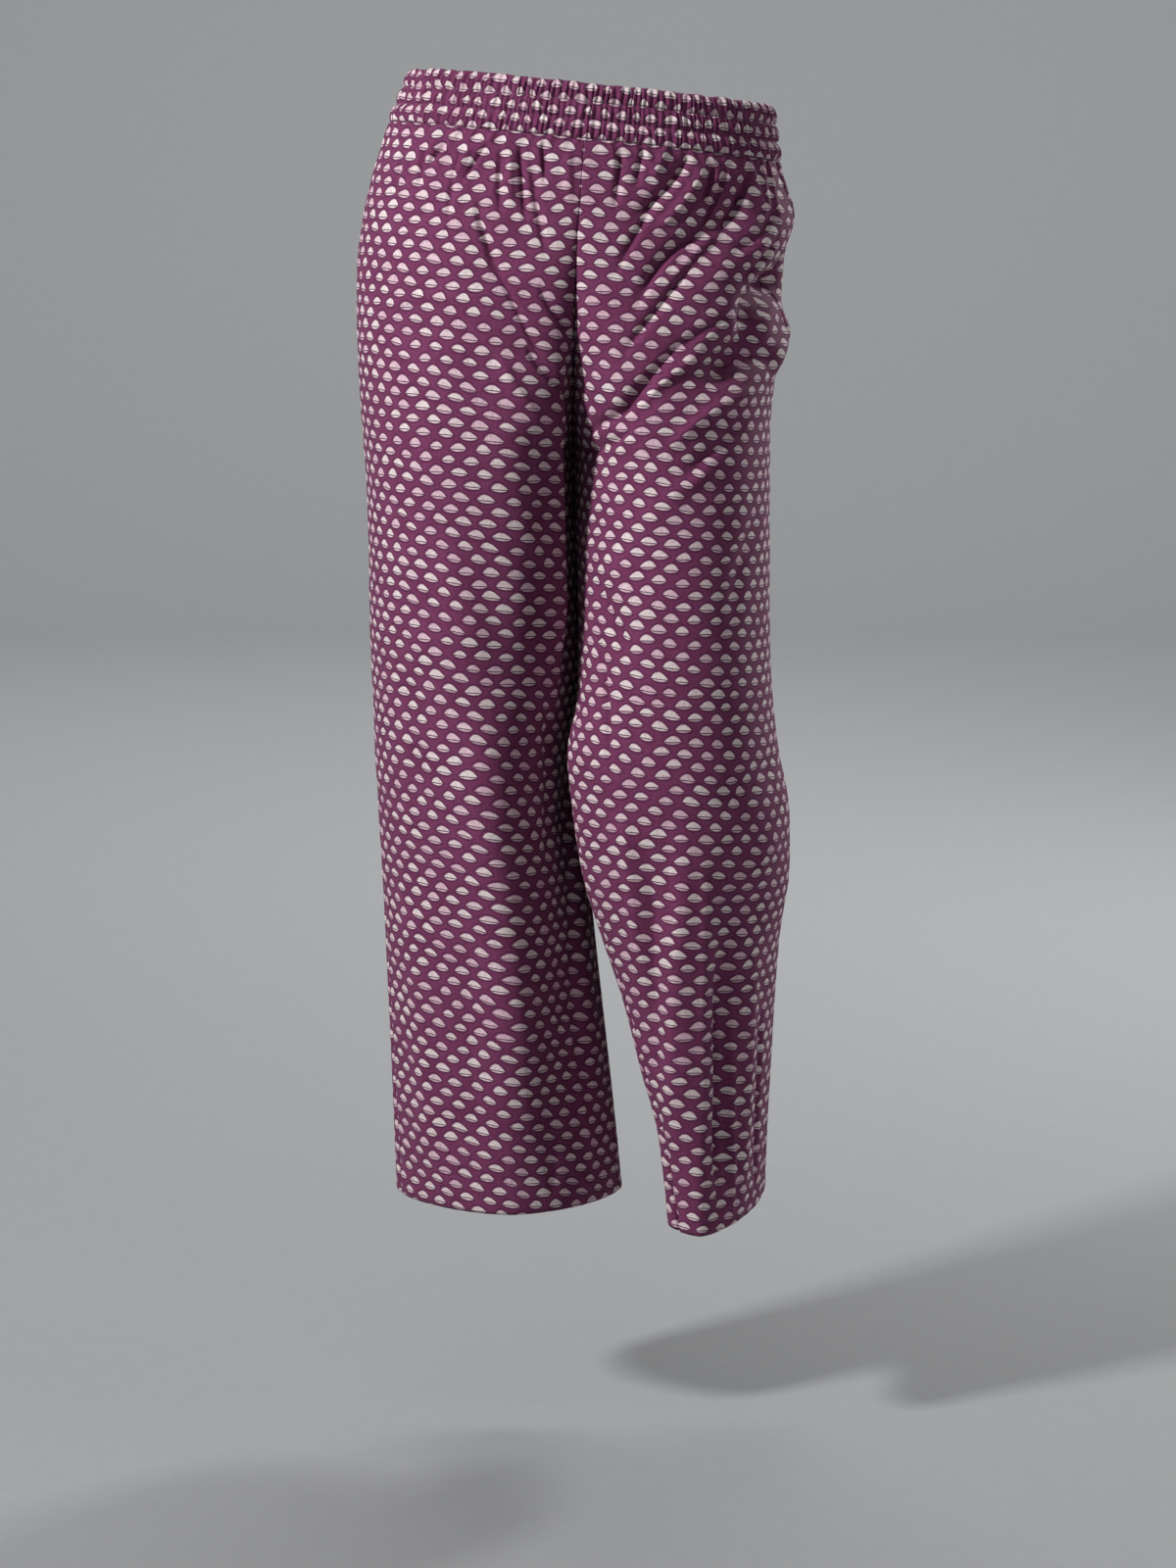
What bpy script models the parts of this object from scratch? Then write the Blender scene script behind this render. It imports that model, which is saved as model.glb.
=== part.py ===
"""Wide-leg trousers of a kurti set, in the hollow form they have when worn.

Metres, +Z up. The wearer faces -Y, so the wearer's right leg is at -X. The origin is the
middle of the waist, at half the height of the gathered waistband. Sizes in the tables are
millimetres, and MM turns them into metres.
"""

import math
from collections import namedtuple

import bmesh
import bpy
import numpy as np

MM = 0.001

# Waistband: an elastic casing, gathered, narrower at its top edge than where the legs start
BAND_HEIGHT = 42.0
BAND_TOP_HALF_WIDTH = 141.5
BAND_TOP_HALF_DEPTH = 101.0
BAND_FOOT_HALF_WIDTH = 153.0
BAND_FOOT_HALF_DEPTH = 107.0
BAND_TOP_SHIFT = 3.0
BAND_FOOT_SHIFT = -2.5
BAND_WALL = 2.6
GATHERS = 150
GATHER_DEPTH = 1.5
CHANNEL_ROWS = 3
CHANNEL_PUFF = 0.7

# The waist slopes down to the wearer's left, and the slope dies out further down the legs
WAIST_SLOPE = 0.1016
SLOPE_ENDS_LEVEL = -600.0

# Cloth
WALL = 1.5
SEAM_GAP = 0.3
HEM_TURN_UP = 28.0
HEM_WALL = 1.0
HEM_LEVEL = -873.0
CROTCH_LEVEL = -262.0

# Seams lie a little to the front of the leg's edges, so the back panels show beside them
SIDE_SEAM_FORWARD = 16.0
INSEAM_FORWARD = 15.0
INSEAM_SETTLES_OVER = 90.0

# Number of points across a panel, and along each stretch of a quarter of a section
PANEL_COLUMNS = 20
QUARTER_STEPS = 40
ROUNDNESS = 2.15

# Levels of the rows of points, from just under the waistband down to the hem
TOP_LEVEL = -0.5 * BAND_HEIGHT - SEAM_GAP
LEVELS_TO_CROTCH = (TOP_LEVEL, -38, -58, -80, -103, -126, -147, -167, -186, -204, -222, -238, -251)
LEVELS_TO_HEM = (CROTCH_LEVEL, -285, -314, -350, -396, -444, -492, -540, -588, -640, -696, -754, -812)
HEM_LEVELS = (HEM_LEVEL + HEM_TURN_UP, HEM_LEVEL)

# One row for each section of a leg, at its level down from the waist.
# outer, inner: x of the leg's edges. front, back: y of its foremost and hindmost points,
# which lie at x crest and x seat. side: y of the outer edge. seam_front, seam_back: y of the
# inner edge, where the centre seams part above the crotch. front_round: the power of the
# front's curve, from 2 for an ellipse down towards 1 for the folded edges of pressed cloth.
Section = namedtuple(
    "Section", "level outer inner front back crest seat side seam_front seam_back front_round"
)

RIGHT_LEG = (
    Section(-21, -155.5, -2.5, -107, 107, -2.5, -2.5, 0, -107, 107, 2.15),
    Section(-40, -162, -4, -110, 110, -8, -8, 0, -109.5, 109.5, 2.15),
    Section(-70, -172, -6, -114, 116, -14, -16, 1, -113, 114, 2.15),
    Section(-100, -179, -8.5, -117, 123, -24, -30, 2, -112, 118, 2.15),
    Section(-130, -183, -9.5, -119, 130, -38, -46, 3, -106, 120, 2.15),
    Section(-170, -184, -10.5, -120, 135, -56, -62, 4, -88, 114, 2.15),
    Section(-210, -183, -11.5, -120, 134, -70, -74, 4, -56, 90, 2.15),
    Section(-240, -181.5, -12, -119.5, 131, -77, -82, 4, -24, 54, 2.15),
    Section(-262, -180, -12, -119, 127, -82, -86, 4, 12, 12, 2.1),
    Section(-300, -177.5, -10, -117, 119, -88, -92, 4, 22, 22, 2.05),
    Section(-340, -176.5, -7.5, -115, 113, -90, -93, 4, 30, 30, 2),
    Section(-400, -176, -4, -112, 106, -92, -94, 4, 30, 30, 2),
    Section(-450, -174.5, -6, -109.5, 101, -90, -93, 4, 22, 22, 2),
    Section(-500, -173, -11, -107, 98, -86, -90, 4, 24, 24, 2),
    Section(-550, -170.5, -8.5, -103.5, 95, -80, -86, 4, 22, 22, 1.95),
    Section(-600, -168, -1, -100, 92, -75, -81, 4, 16, 16, 1.9),
    Section(-700, -164, 10, -93, 88, -68, -74, 4, 8, 8, 1.8),
    Section(-800, -160.5, 21, -86, 86, -64, -68, 4, 6, 6, 1.7),
    Section(-880, -158, 29, -81, 86, -62, -64, 4, 10, 10, 1.6),
)

LEFT_LEG = (
    Section(-21, 150.5, -2.5, -107, 107, -2.5, -2.5, 0, -107, 107, 2.15),
    Section(-40, 155, -4, -110, 110, 0, 0, 0, -109.5, 109.5, 2.15),
    Section(-70, 158, -6, -115, 116, 6, 6, 0, -113, 114, 2.15),
    Section(-100, 156, -8.5, -118, 122, 14, 18, 0, -112, 118, 2.15),
    Section(-130, 154, -9.5, -121, 127, 24, 32, 0, -106, 120, 2.15),
    Section(-170, 151, -10.5, -124, 130, 40, 48, -2, -88, 114, 2.15),
    Section(-210, 147, -11.5, -127, 128, 54, 60, -4, -56, 90, 2.15),
    Section(-240, 145, -12, -128, 123, 60, 64, -6, -24, 54, 2.15),
    Section(-262, 145, -12, -129, 118, 63, 66, -8, 12, 12, 2.1),
    Section(-300, 145, -10, -131, 110, 66, 68, -12, -8, -8, 2.05),
    Section(-340, 145, -9, -133, 102, 67, 69, -16, -26, -26, 2),
    Section(-400, 145.5, -7.5, -136, 92, 68, 70, -20, -36, -36, 2),
    Section(-450, 147.5, -8, -138, 86, 70, 72, -24, -52, -52, 2),
    Section(-500, 153, -16.5, -138, 82, 70, 74, -26, -66, -66, 2),
    Section(-550, 162, -12, -135, 81, 71, 76, -24, -67, -67, 2),
    Section(-600, 163, -4, -130, 83, 73, 80, -18, -65, -65, 1.95),
    Section(-650, 156.5, 12, -125, 87, 76, 83, -12, -65, -65, 1.9),
    Section(-700, 153, 29, -119, 92, 79, 86, -6, -66, -66, 1.8),
    Section(-750, 151, 42, -114, 97, 83, 93, -2, -69, -69, 1.7),
    Section(-800, 148.5, 56, -108, 101, 87, 100, 0, -73, -73, 1.6),
    Section(-880, 146, 65.5, -101, 106, 90, 110, 2, -77, -77, 1.45),
)

# One row for each large fold. Its line runs from start by way of middle to end, on the front or
# the back of the leg, and x and z are where each of those lies. past is how far before its
# start it begins, round the outer edge. height is how far it stands out, or in where that is
# negative. outer and inner are its half widths towards the leg's outer and inner edges, or
# below and above it where the line runs inwards.
Fold = namedtuple(
    "Fold", "face start_x start_z middle_x middle_z end_x end_z past height outer inner"
)

RIGHT_FOLDS = (
    # The soft ridge that the front falls from, down to the hem
    Fold("front", -84, -440, -62, -610, -52, -850, 0, 6, 44, 22),
    # Where the cloth turns at the outer side
    Fold("front", -150, -560, -132, -740, -122, -870, 0, 3, 16, 14),
    # Drag lines from the hip to the crotch
    Fold("front", -84, -72, -62, -130, -34, -190, 0, -3, 16, 14),
    Fold("front", -58, -160, -38, -200, -24, -246, 0, -3, 14, 10),
    # Under the seat and behind the knee
    Fold("back", -160, -236, -100, -272, -36, -286, 0, -6, 16, 22),
    Fold("back", -150, -500, -96, -528, -40, -520, 0, -4, 26, 26),
    Fold("back", -60, -330, -92, -560, -84, -850, 0, 7, 34, 34),
    Fold("back", -136, -470, -134, -640, -126, -850, 0, -4, 18, 18),
)

LEFT_FOLDS = (
    # The notch in the side over the bent hip, and the rolls above and below it
    Fold("front", 150, -66, 150, -84, 112, -116, 50, 6, 20, 17),
    Fold("front", 150, -128, 144, -137, 108, -162, 45, -23, 12, 14),
    Fold("front", 150, -160, 150, -178, 138, -202, 50, 9, 14, 14),
    # The hollow beside the lower roll, and the ridges above and below it
    Fold("front", 142, -160, 116, -182, 84, -212, 0, -11, 13, 13),
    Fold("front", 138, -132, 112, -150, 66, -184, 0, 5, 14, 12),
    Fold("front", 146, -200, 118, -208, 78, -232, 0, 4, 14, 12),
    # The long trough and the ridge under it, from the hip down to the crotch
    Fold("front", 128, -46, 98, -92, 44, -142, 0, -5, 13, 16),
    Fold("front", 142, -88, 104, -122, 44, -180, 0, 4, 18, 14),
    Fold("front", 60, -196, 34, -226, 10, -250, 0, -4, 10, 12),
    # The ridge below the knee, and the trough and the ridge outside it
    Fold("front", 78, -500, 69, -690, 68, -885, 0, 5, 24, 13),
    Fold("front", 110, -600, 108, -730, 107, -890, 0, -8, 11, 11),
    Fold("front", 134, -640, 127, -760, 124, -890, 0, 4, 10, 12),
    # Under the seat and behind the knee
    Fold("back", 138, -226, 84, -262, 24, -280, 0, -6, 16, 22),
    Fold("back", 132, -478, 78, -506, 16, -500, 0, -7, 26, 26),
    Fold("back", 66, -310, 92, -560, 100, -850, 0, 6, 32, 32),
    Fold("back", 128, -520, 130, -700, 124, -850, 0, -4, 16, 16),
)

# The left leg is turned out and bent, so its hem hangs lower at the front
Leg = namedtuple("Leg", "name sections folds outward hem_tilt")
RIGHT = Leg("right", RIGHT_LEG, RIGHT_FOLDS, -1, 0.0)
LEFT = Leg("left", LEFT_LEG, LEFT_FOLDS, 1, 0.12)
TILT_STARTS_LEVEL = -560.0

PLUM = (0.105, 0.026, 0.072, 1.0)
PLUM_DARK = (0.085, 0.021, 0.060, 1.0)
CLOTH_ROUGHNESS = 0.9
FOLD_SAMPLES = 24
FOLD_TAPER = 0.3


def clear_scene():
    for obj in list(bpy.data.objects):
        bpy.data.objects.remove(obj, do_unlink=True)


def make_material(name, colour):
    material = bpy.data.materials.new(name)
    material.use_nodes = True
    shader = material.node_tree.nodes["Principled BSDF"]
    shader.inputs["Base Color"].default_value = colour
    shader.inputs["Roughness"].default_value = CLOTH_ROUGHNESS
    shader.inputs["Metallic"].default_value = 0.0
    return material


def section_at(sections, level):
    """The section at any level. Each column of the table is joined by a smooth curve that never
    passes its own values, so the legs keep apart where both have the same inner edge."""
    table = np.array(sections, float)[::-1]
    levels = table[:, 0]
    rates = np.diff(table, axis=0) / np.diff(levels)[:, None]
    before, after = rates[:-1], rates[1:]
    turns = before * after <= 0
    total = np.where(turns, 1, before + after)
    between = np.where(turns, 0, 2 * before * after / total)
    slopes = np.vstack([rates[:1], between, rates[-1:]])
    i = int(np.clip(np.searchsorted(levels, level) - 1, 0, len(levels) - 2))
    span = levels[i + 1] - levels[i]
    t = (level - levels[i]) / span
    value = (
        (2 * t**3 - 3 * t**2 + 1) * table[i]
        + (t**3 - 2 * t**2 + t) * span * slopes[i]
        + (3 * t**2 - 2 * t**3) * table[i + 1]
        + (t**3 - t**2) * span * slopes[i + 1]
    )
    return Section(*value)


def quarter(centre_x, centre_y, reach_x, reach_y, roundness=ROUNDNESS):
    """A rounded quarter from its reach in x to its reach in y."""
    turn = np.linspace(0, math.pi / 2, QUARTER_STEPS)
    power = 2 / roundness
    return np.stack(
        [
            centre_x + reach_x * np.cos(turn) ** power,
            centre_y + reach_y * np.sin(turn) ** power,
        ],
        axis=1,
    )


def ring(leg, level):
    """(points, arcs) of a leg's section, from the inner edge at the back, round the outer edge,
    to the inner edge at the front. An arc is counted from the outer edge."""
    s = section_at(leg.sections, level)
    inner = s.inner + leg.outward * SEAM_GAP / 2
    seat_to_inner = quarter(s.seat, s.seam_back, inner - s.seat, s.back - s.seam_back)
    outer_to_seat = quarter(s.seat, s.side, s.outer - s.seat, s.back - s.side)
    rounding = s.front_round
    outer_to_crest = quarter(s.crest, s.side, s.outer - s.crest, s.front - s.side, rounding)
    inner_depth = s.front - s.seam_front
    crest_to_inner = quarter(s.crest, s.seam_front, inner - s.crest, inner_depth, rounding)
    points = np.concatenate(
        [seat_to_inner, outer_to_seat[::-1][1:], outer_to_crest[1:], crest_to_inner[::-1][1:]]
    )
    lengths = np.linalg.norm(np.diff(points, axis=0), axis=1)
    arcs = np.concatenate([[0], np.cumsum(lengths)])
    outer_edge = 2 * QUARTER_STEPS - 2
    return points, arcs - arcs[outer_edge]


def smoothstep(t):
    t = np.clip(t, 0, 1)
    return t * t * (3 - 2 * t)


def slope_at(level):
    return WAIST_SLOPE * smoothstep(1 - level / SLOPE_ENDS_LEVEL)


def height_at(leg, level, x, y):
    """z of a leg's point at a level."""
    tilt = leg.hem_tilt * smoothstep((level - TILT_STARTS_LEVEL) / (HEM_LEVEL - TILT_STARTS_LEVEL))
    return level - slope_at(level) * x + tilt * y


def inseam_shift(level):
    return INSEAM_FORWARD * smoothstep((CROTCH_LEVEL - level) / INSEAM_SETTLES_OVER)


def panel_arcs(arcs, level, is_front):
    """The arcs of a panel's points at a level, from the side seam to the inner seam."""
    side = 1 if is_front else -1
    start = SIDE_SEAM_FORWARD + side * SEAM_GAP / 2
    end = (arcs[-1] if is_front else arcs[0]) - inseam_shift(level) - side * SEAM_GAP / 2
    return np.linspace(start, end, PANEL_COLUMNS)


def arc_of(leg, face, x, z):
    """The arc of the leg's point at x and z on its front or its back."""
    loop, arcs = ring(leg, z + slope_at(z) * x)
    on_face = arcs >= 0 if face == "front" else arcs <= 0
    order = np.argsort(loop[on_face, 0])
    return float(np.interp(x, loop[on_face, 0][order], arcs[on_face][order]))


def fold_line(leg, fold):
    """(arc, z) of points along a fold: the parabola through its start, middle and end."""
    t = np.linspace(0, 1, FOLD_SAMPLES)[:, None]
    start, middle, end = (
        np.array([arc_of(leg, fold.face, x, z), z])
        for x, z in (
            (fold.start_x, fold.start_z),
            (fold.middle_x, fold.middle_z),
            (fold.end_x, fold.end_z),
        )
    )
    start[0] -= fold.past if fold.face == "front" else -fold.past
    return (1 - t) * (1 - 2 * t) * start + 4 * t * (1 - t) * middle + t * (2 * t - 1) * end


def fold_relief(leg, arcs, heights):
    """How far the folds move each point out of the leg, in millimetres."""
    relief = np.zeros_like(arcs)
    along = np.linspace(0, 1, FOLD_SAMPLES)
    share_along = smoothstep(along / FOLD_TAPER) * smoothstep((1 - along) / FOLD_TAPER)
    for fold in leg.folds:
        line = fold_line(leg, fold)
        steps = np.gradient(line, axis=0)
        across = arcs[..., None] - line[:, 0]
        down = heights[..., None] - line[:, 1]
        distance = np.hypot(across, down)
        nearest = np.argmin(distance, axis=-1)[..., None]
        across, down, distance = (
            np.take_along_axis(field, nearest, -1)[..., 0] for field in (across, down, distance)
        )
        nearest = nearest[..., 0]
        turn = steps[nearest, 0] * down - steps[nearest, 1] * across
        inner_side = turn > 0 if fold.face == "front" else turn < 0
        width = np.where(inner_side, fold.inner, fold.outer)
        relief += fold.height * share_along[nearest] * np.exp(-((distance / width) ** 2))
    return relief


def panel_points(leg, is_front, levels, inset=0.0):
    """A panel's outer face as rows of points in metres, or the face that lies inset inside it."""
    rows = []
    for level in levels:
        loop, arcs = ring(leg, level)
        way = np.gradient(loop, arcs, axis=0)
        wanted = panel_arcs(arcs, level, is_front)
        wrapped = np.where(wanted < arcs[0], wanted + arcs[-1] - arcs[0], wanted)
        x, y, way_x, way_y = (
            np.interp(wrapped, arcs, column) for column in (*loop.T, *way.T)
        )
        out = np.stack([way_y, -way_x], axis=1) * -leg.outward
        out /= np.linalg.norm(out, axis=1, keepdims=True)
        z = height_at(leg, level, x, y)
        shift = fold_relief(leg, wanted, z) - inset
        rows.append(np.column_stack([x + out[:, 0] * shift, y + out[:, 1] * shift, z]))
    return np.array(rows) * MM


def add_object(name, shape, material, collection):
    # The shorter diagonal is the same one on both sides of a gap, so walls keep clear of each other
    bmesh.ops.triangulate(shape, faces=shape.faces, quad_method="SHORT_EDGE")
    mesh = bpy.data.meshes.new(name)
    shape.to_mesh(mesh)
    shape.free()
    mesh.materials.append(material)
    mesh.shade_smooth()
    obj = bpy.data.objects.new(name, mesh)
    collection.objects.link(obj)
    return obj


def add_grid(shape, rows, closed_across=False, closed_along=False, flip=False):
    """Quads between the neighbouring points of rows of vertices."""
    count, width = len(rows), len(rows[0])
    for i in range(count if closed_along else count - 1):
        upper, lower = rows[i], rows[(i + 1) % count]
        for j in range(width if closed_across else width - 1):
            k = (j + 1) % width
            corners = [upper[j], upper[k], lower[k], lower[j]]
            shape.faces.new(corners[::-1] if flip else corners)


def new_rows(shape, rows):
    return [[shape.verts.new(point) for point in row] for row in rows]


def cloth_wall(outer, inner, closed_across, flip):
    """A closed wall between its outer and inner face. Both faces are given, because a wall made
    along each panel's own normals would cross its neighbour's at a seam."""
    shape = bmesh.new()
    outer, inner = new_rows(shape, outer), new_rows(shape, inner)
    add_grid(shape, outer, closed_across, flip=flip)
    add_grid(shape, inner, closed_across, flip=not flip)
    add_grid(shape, [inner[0], outer[0]], closed_across, flip=flip)
    add_grid(shape, [outer[-1], inner[-1]], closed_across, flip=flip)
    if not closed_across:
        first = [[row[0] for row in face] for face in (outer, inner)]
        last = [[row[-1] for row in face] for face in (outer, inner)]
        add_grid(shape, first, flip=flip)
        add_grid(shape, last, flip=not flip)
    return shape


def make_panel(leg, is_front, material, collection):
    levels = LEVELS_TO_CROTCH + LEVELS_TO_HEM + HEM_LEVELS
    outer, inner = (panel_points(leg, is_front, levels, inset) for inset in (0.0, WALL))
    flip = (leg.outward < 0) == is_front
    shape = cloth_wall(outer, inner, closed_across=False, flip=flip)
    name = f"{'front' if is_front else 'back'}_{leg.name}"
    return add_object(name, shape, material, collection)


def make_hem(leg, material, collection):
    """The turned-up hem allowance, a strip round the inside of the leg's lower edge."""
    faces = []
    for inset in (WALL + SEAM_GAP, WALL + SEAM_GAP + HEM_WALL):
        front, back = (panel_points(leg, is_front, HEM_LEVELS, inset) for is_front in (True, False))
        faces.append(np.concatenate([front, back[:, ::-1]], axis=1))
    shape = cloth_wall(*faces, closed_across=True, flip=leg.outward < 0)
    return add_object(f"hem_{leg.name}", shape, material, collection)


def band_ring(share_down, relief):
    """A ring of the waistband: share_down is 0 at its top edge and 1 at its foot, and relief
    is how far each of its points stands out, in millimetres."""
    half_width = BAND_TOP_HALF_WIDTH + share_down * (BAND_FOOT_HALF_WIDTH - BAND_TOP_HALF_WIDTH)
    half_depth = BAND_TOP_HALF_DEPTH + share_down * (BAND_FOOT_HALF_DEPTH - BAND_TOP_HALF_DEPTH)
    shift = BAND_TOP_SHIFT + share_down * (BAND_FOOT_SHIFT - BAND_TOP_SHIFT)
    right_back, left_back, left_front, right_front = (
        quarter(shift, 0, side * half_width, face * half_depth)
        for side, face in ((-1, 1), (1, 1), (1, -1), (-1, -1))
    )
    loop = np.concatenate(
        [left_back, right_back[::-1][1:], right_front[1:], left_front[::-1][1:]]
    )
    arcs = np.concatenate([[0], np.cumsum(np.linalg.norm(np.diff(loop, axis=0), axis=1))])
    way = np.gradient(loop, arcs, axis=0)
    wanted = np.linspace(0, arcs[-1], len(relief), endpoint=False)
    x, y, way_x, way_y = (np.interp(wanted, arcs, column) for column in (*loop.T, *way.T))
    out = np.stack([way_y, -way_x], axis=1)
    out /= np.linalg.norm(out, axis=1, keepdims=True)
    x, y = x + out[:, 0] * relief, y + out[:, 1] * relief
    level = BAND_HEIGHT * (0.5 - share_down)
    return np.stack([x, y, level - WAIST_SLOPE * x], axis=1) * MM


def make_waistband(material, collection):
    """The gathered casing: ridged outside, plain inside."""
    ridges = np.tile([0.0, GATHER_DEPTH], GATHERS)
    plain = np.full(2 * GATHERS, -BAND_WALL)
    rings = []
    for row in range(CHANNEL_ROWS + 1):
        share = row / CHANNEL_ROWS
        rings.append(band_ring(share, ridges))
        if row < CHANNEL_ROWS:
            rings.append(band_ring(share + 0.5 / CHANNEL_ROWS, ridges + CHANNEL_PUFF))
    rings += [band_ring(1.0, plain), band_ring(0.0, plain)]
    shape = bmesh.new()
    rows = new_rows(shape, rings)
    add_grid(shape, rows, closed_across=True, closed_along=True, flip=True)
    return add_object("waistband", shape, material, collection)


def main():
    clear_scene()
    collection = bpy.data.collections.new("trousers")
    bpy.context.scene.collection.children.link(collection)
    cloth = make_material("plum_cotton", PLUM)
    doubled = make_material("plum_cotton_doubled", PLUM_DARK)
    make_waistband(doubled, collection)
    for leg in (RIGHT, LEFT):
        make_panel(leg, True, cloth, collection)
        make_panel(leg, False, cloth, collection)
        make_hem(leg, doubled, collection)


main()
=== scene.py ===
# %% [markdown]
# # Wide-leg cotton trousers with a gathered waistband
# These are the trousers of a kurti set: plum cotton, block-printed with small cream half-rounds.
# A maker cuts two front and two back panels, sews them up the sides, the insides of the legs and
# the centre, turns the hems up, and turns the top over as a casing for elastic.
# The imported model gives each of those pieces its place. Here each one gets its real cloth: a thin
# shell with its gathers and creases, the print, the weave and the stitches.

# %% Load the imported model
import math
import random
from collections import namedtuple

import bmesh
import bpy
import numpy as np
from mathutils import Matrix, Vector


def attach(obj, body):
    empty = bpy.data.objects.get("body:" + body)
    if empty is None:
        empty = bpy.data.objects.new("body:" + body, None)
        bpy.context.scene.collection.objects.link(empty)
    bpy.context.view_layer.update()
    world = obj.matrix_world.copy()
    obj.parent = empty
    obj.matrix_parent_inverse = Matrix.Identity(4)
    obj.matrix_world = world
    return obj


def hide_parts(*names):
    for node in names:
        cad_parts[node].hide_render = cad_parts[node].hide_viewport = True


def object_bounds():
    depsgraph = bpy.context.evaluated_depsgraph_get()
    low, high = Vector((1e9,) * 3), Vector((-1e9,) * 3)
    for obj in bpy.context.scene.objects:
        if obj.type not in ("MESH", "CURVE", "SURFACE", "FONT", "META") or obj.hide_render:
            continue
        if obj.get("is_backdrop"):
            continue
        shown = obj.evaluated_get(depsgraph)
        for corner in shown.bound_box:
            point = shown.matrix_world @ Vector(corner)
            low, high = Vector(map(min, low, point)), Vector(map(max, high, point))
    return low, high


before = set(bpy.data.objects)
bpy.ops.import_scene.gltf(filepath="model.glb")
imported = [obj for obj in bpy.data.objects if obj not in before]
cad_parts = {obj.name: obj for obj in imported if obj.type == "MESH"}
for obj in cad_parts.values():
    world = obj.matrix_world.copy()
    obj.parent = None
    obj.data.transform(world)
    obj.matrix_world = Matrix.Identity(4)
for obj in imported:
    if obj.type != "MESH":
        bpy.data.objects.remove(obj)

CAD_BOX = [list(corner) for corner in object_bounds()]
MM = 0.001
print("packed pieces:", sorted(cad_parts))

# %% [markdown]
# ## The form of the legs
# A leg is described by its horizontal sections: how far it reaches to each side, to the front and
# to the back at each level. The tables are in millimetres, like a tailor's chart, and a smooth
# curve joins the rows. The levels slope with the waist, which is lower at the wearer's left.

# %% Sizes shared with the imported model
BAND_HEIGHT = 42.0
BAND_TOP_HALF_WIDTH = 141.5
BAND_TOP_HALF_DEPTH = 101.0
BAND_FOOT_HALF_WIDTH = 153.0
BAND_FOOT_HALF_DEPTH = 107.0
BAND_TOP_SHIFT = 3.0
BAND_FOOT_SHIFT = -2.5
WAIST_SLOPE = 0.1016
SLOPE_ENDS_LEVEL = -600.0
HEM_LEVEL = -873.0
CROTCH_LEVEL = -262.0
SIDE_SEAM_FORWARD = 16.0
INSEAM_FORWARD = 15.0
INSEAM_SETTLES_OVER = 90.0
ROUNDNESS = 2.15
TILT_STARTS_LEVEL = -560.0
QUARTER_STEPS = 120
FOLD_SAMPLES = 24
FOLD_TAPER = 0.3

Section = namedtuple(
    "Section", "level outer inner front back crest seat side seam_front seam_back front_round"
)

RIGHT_LEG = (
    Section(-21, -155.5, -2.5, -107, 107, -2.5, -2.5, 0, -107, 107, 2.15),
    Section(-40, -162, -4, -110, 110, -8, -8, 0, -109.5, 109.5, 2.15),
    Section(-70, -172, -6, -114, 116, -14, -16, 1, -113, 114, 2.15),
    Section(-100, -179, -8.5, -117, 123, -24, -30, 2, -112, 118, 2.15),
    Section(-130, -183, -9.5, -119, 130, -38, -46, 3, -106, 120, 2.15),
    Section(-170, -184, -10.5, -120, 135, -56, -62, 4, -88, 114, 2.15),
    Section(-210, -183, -11.5, -120, 134, -70, -74, 4, -56, 90, 2.15),
    Section(-240, -181.5, -12, -119.5, 131, -77, -82, 4, -24, 54, 2.15),
    Section(-262, -180, -12, -119, 127, -82, -86, 4, 12, 12, 2.1),
    Section(-300, -177.5, -10, -117, 119, -88, -92, 4, 22, 22, 2.05),
    Section(-340, -176.5, -7.5, -115, 113, -90, -93, 4, 30, 30, 2),
    Section(-400, -176, -4, -112, 106, -92, -94, 4, 30, 30, 2),
    Section(-450, -174.5, -6, -109.5, 101, -90, -93, 4, 22, 22, 2),
    Section(-500, -173, -11, -107, 98, -86, -90, 4, 24, 24, 2),
    Section(-550, -170.5, -8.5, -103.5, 95, -80, -86, 4, 22, 22, 1.95),
    Section(-600, -168, -1, -100, 92, -75, -81, 4, 16, 16, 1.9),
    Section(-700, -164, 10, -93, 88, -68, -74, 4, 8, 8, 1.8),
    Section(-800, -160.5, 21, -86, 86, -64, -68, 4, 6, 6, 1.7),
    Section(-880, -158, 29, -81, 86, -62, -64, 4, 10, 10, 1.6),
)

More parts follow.
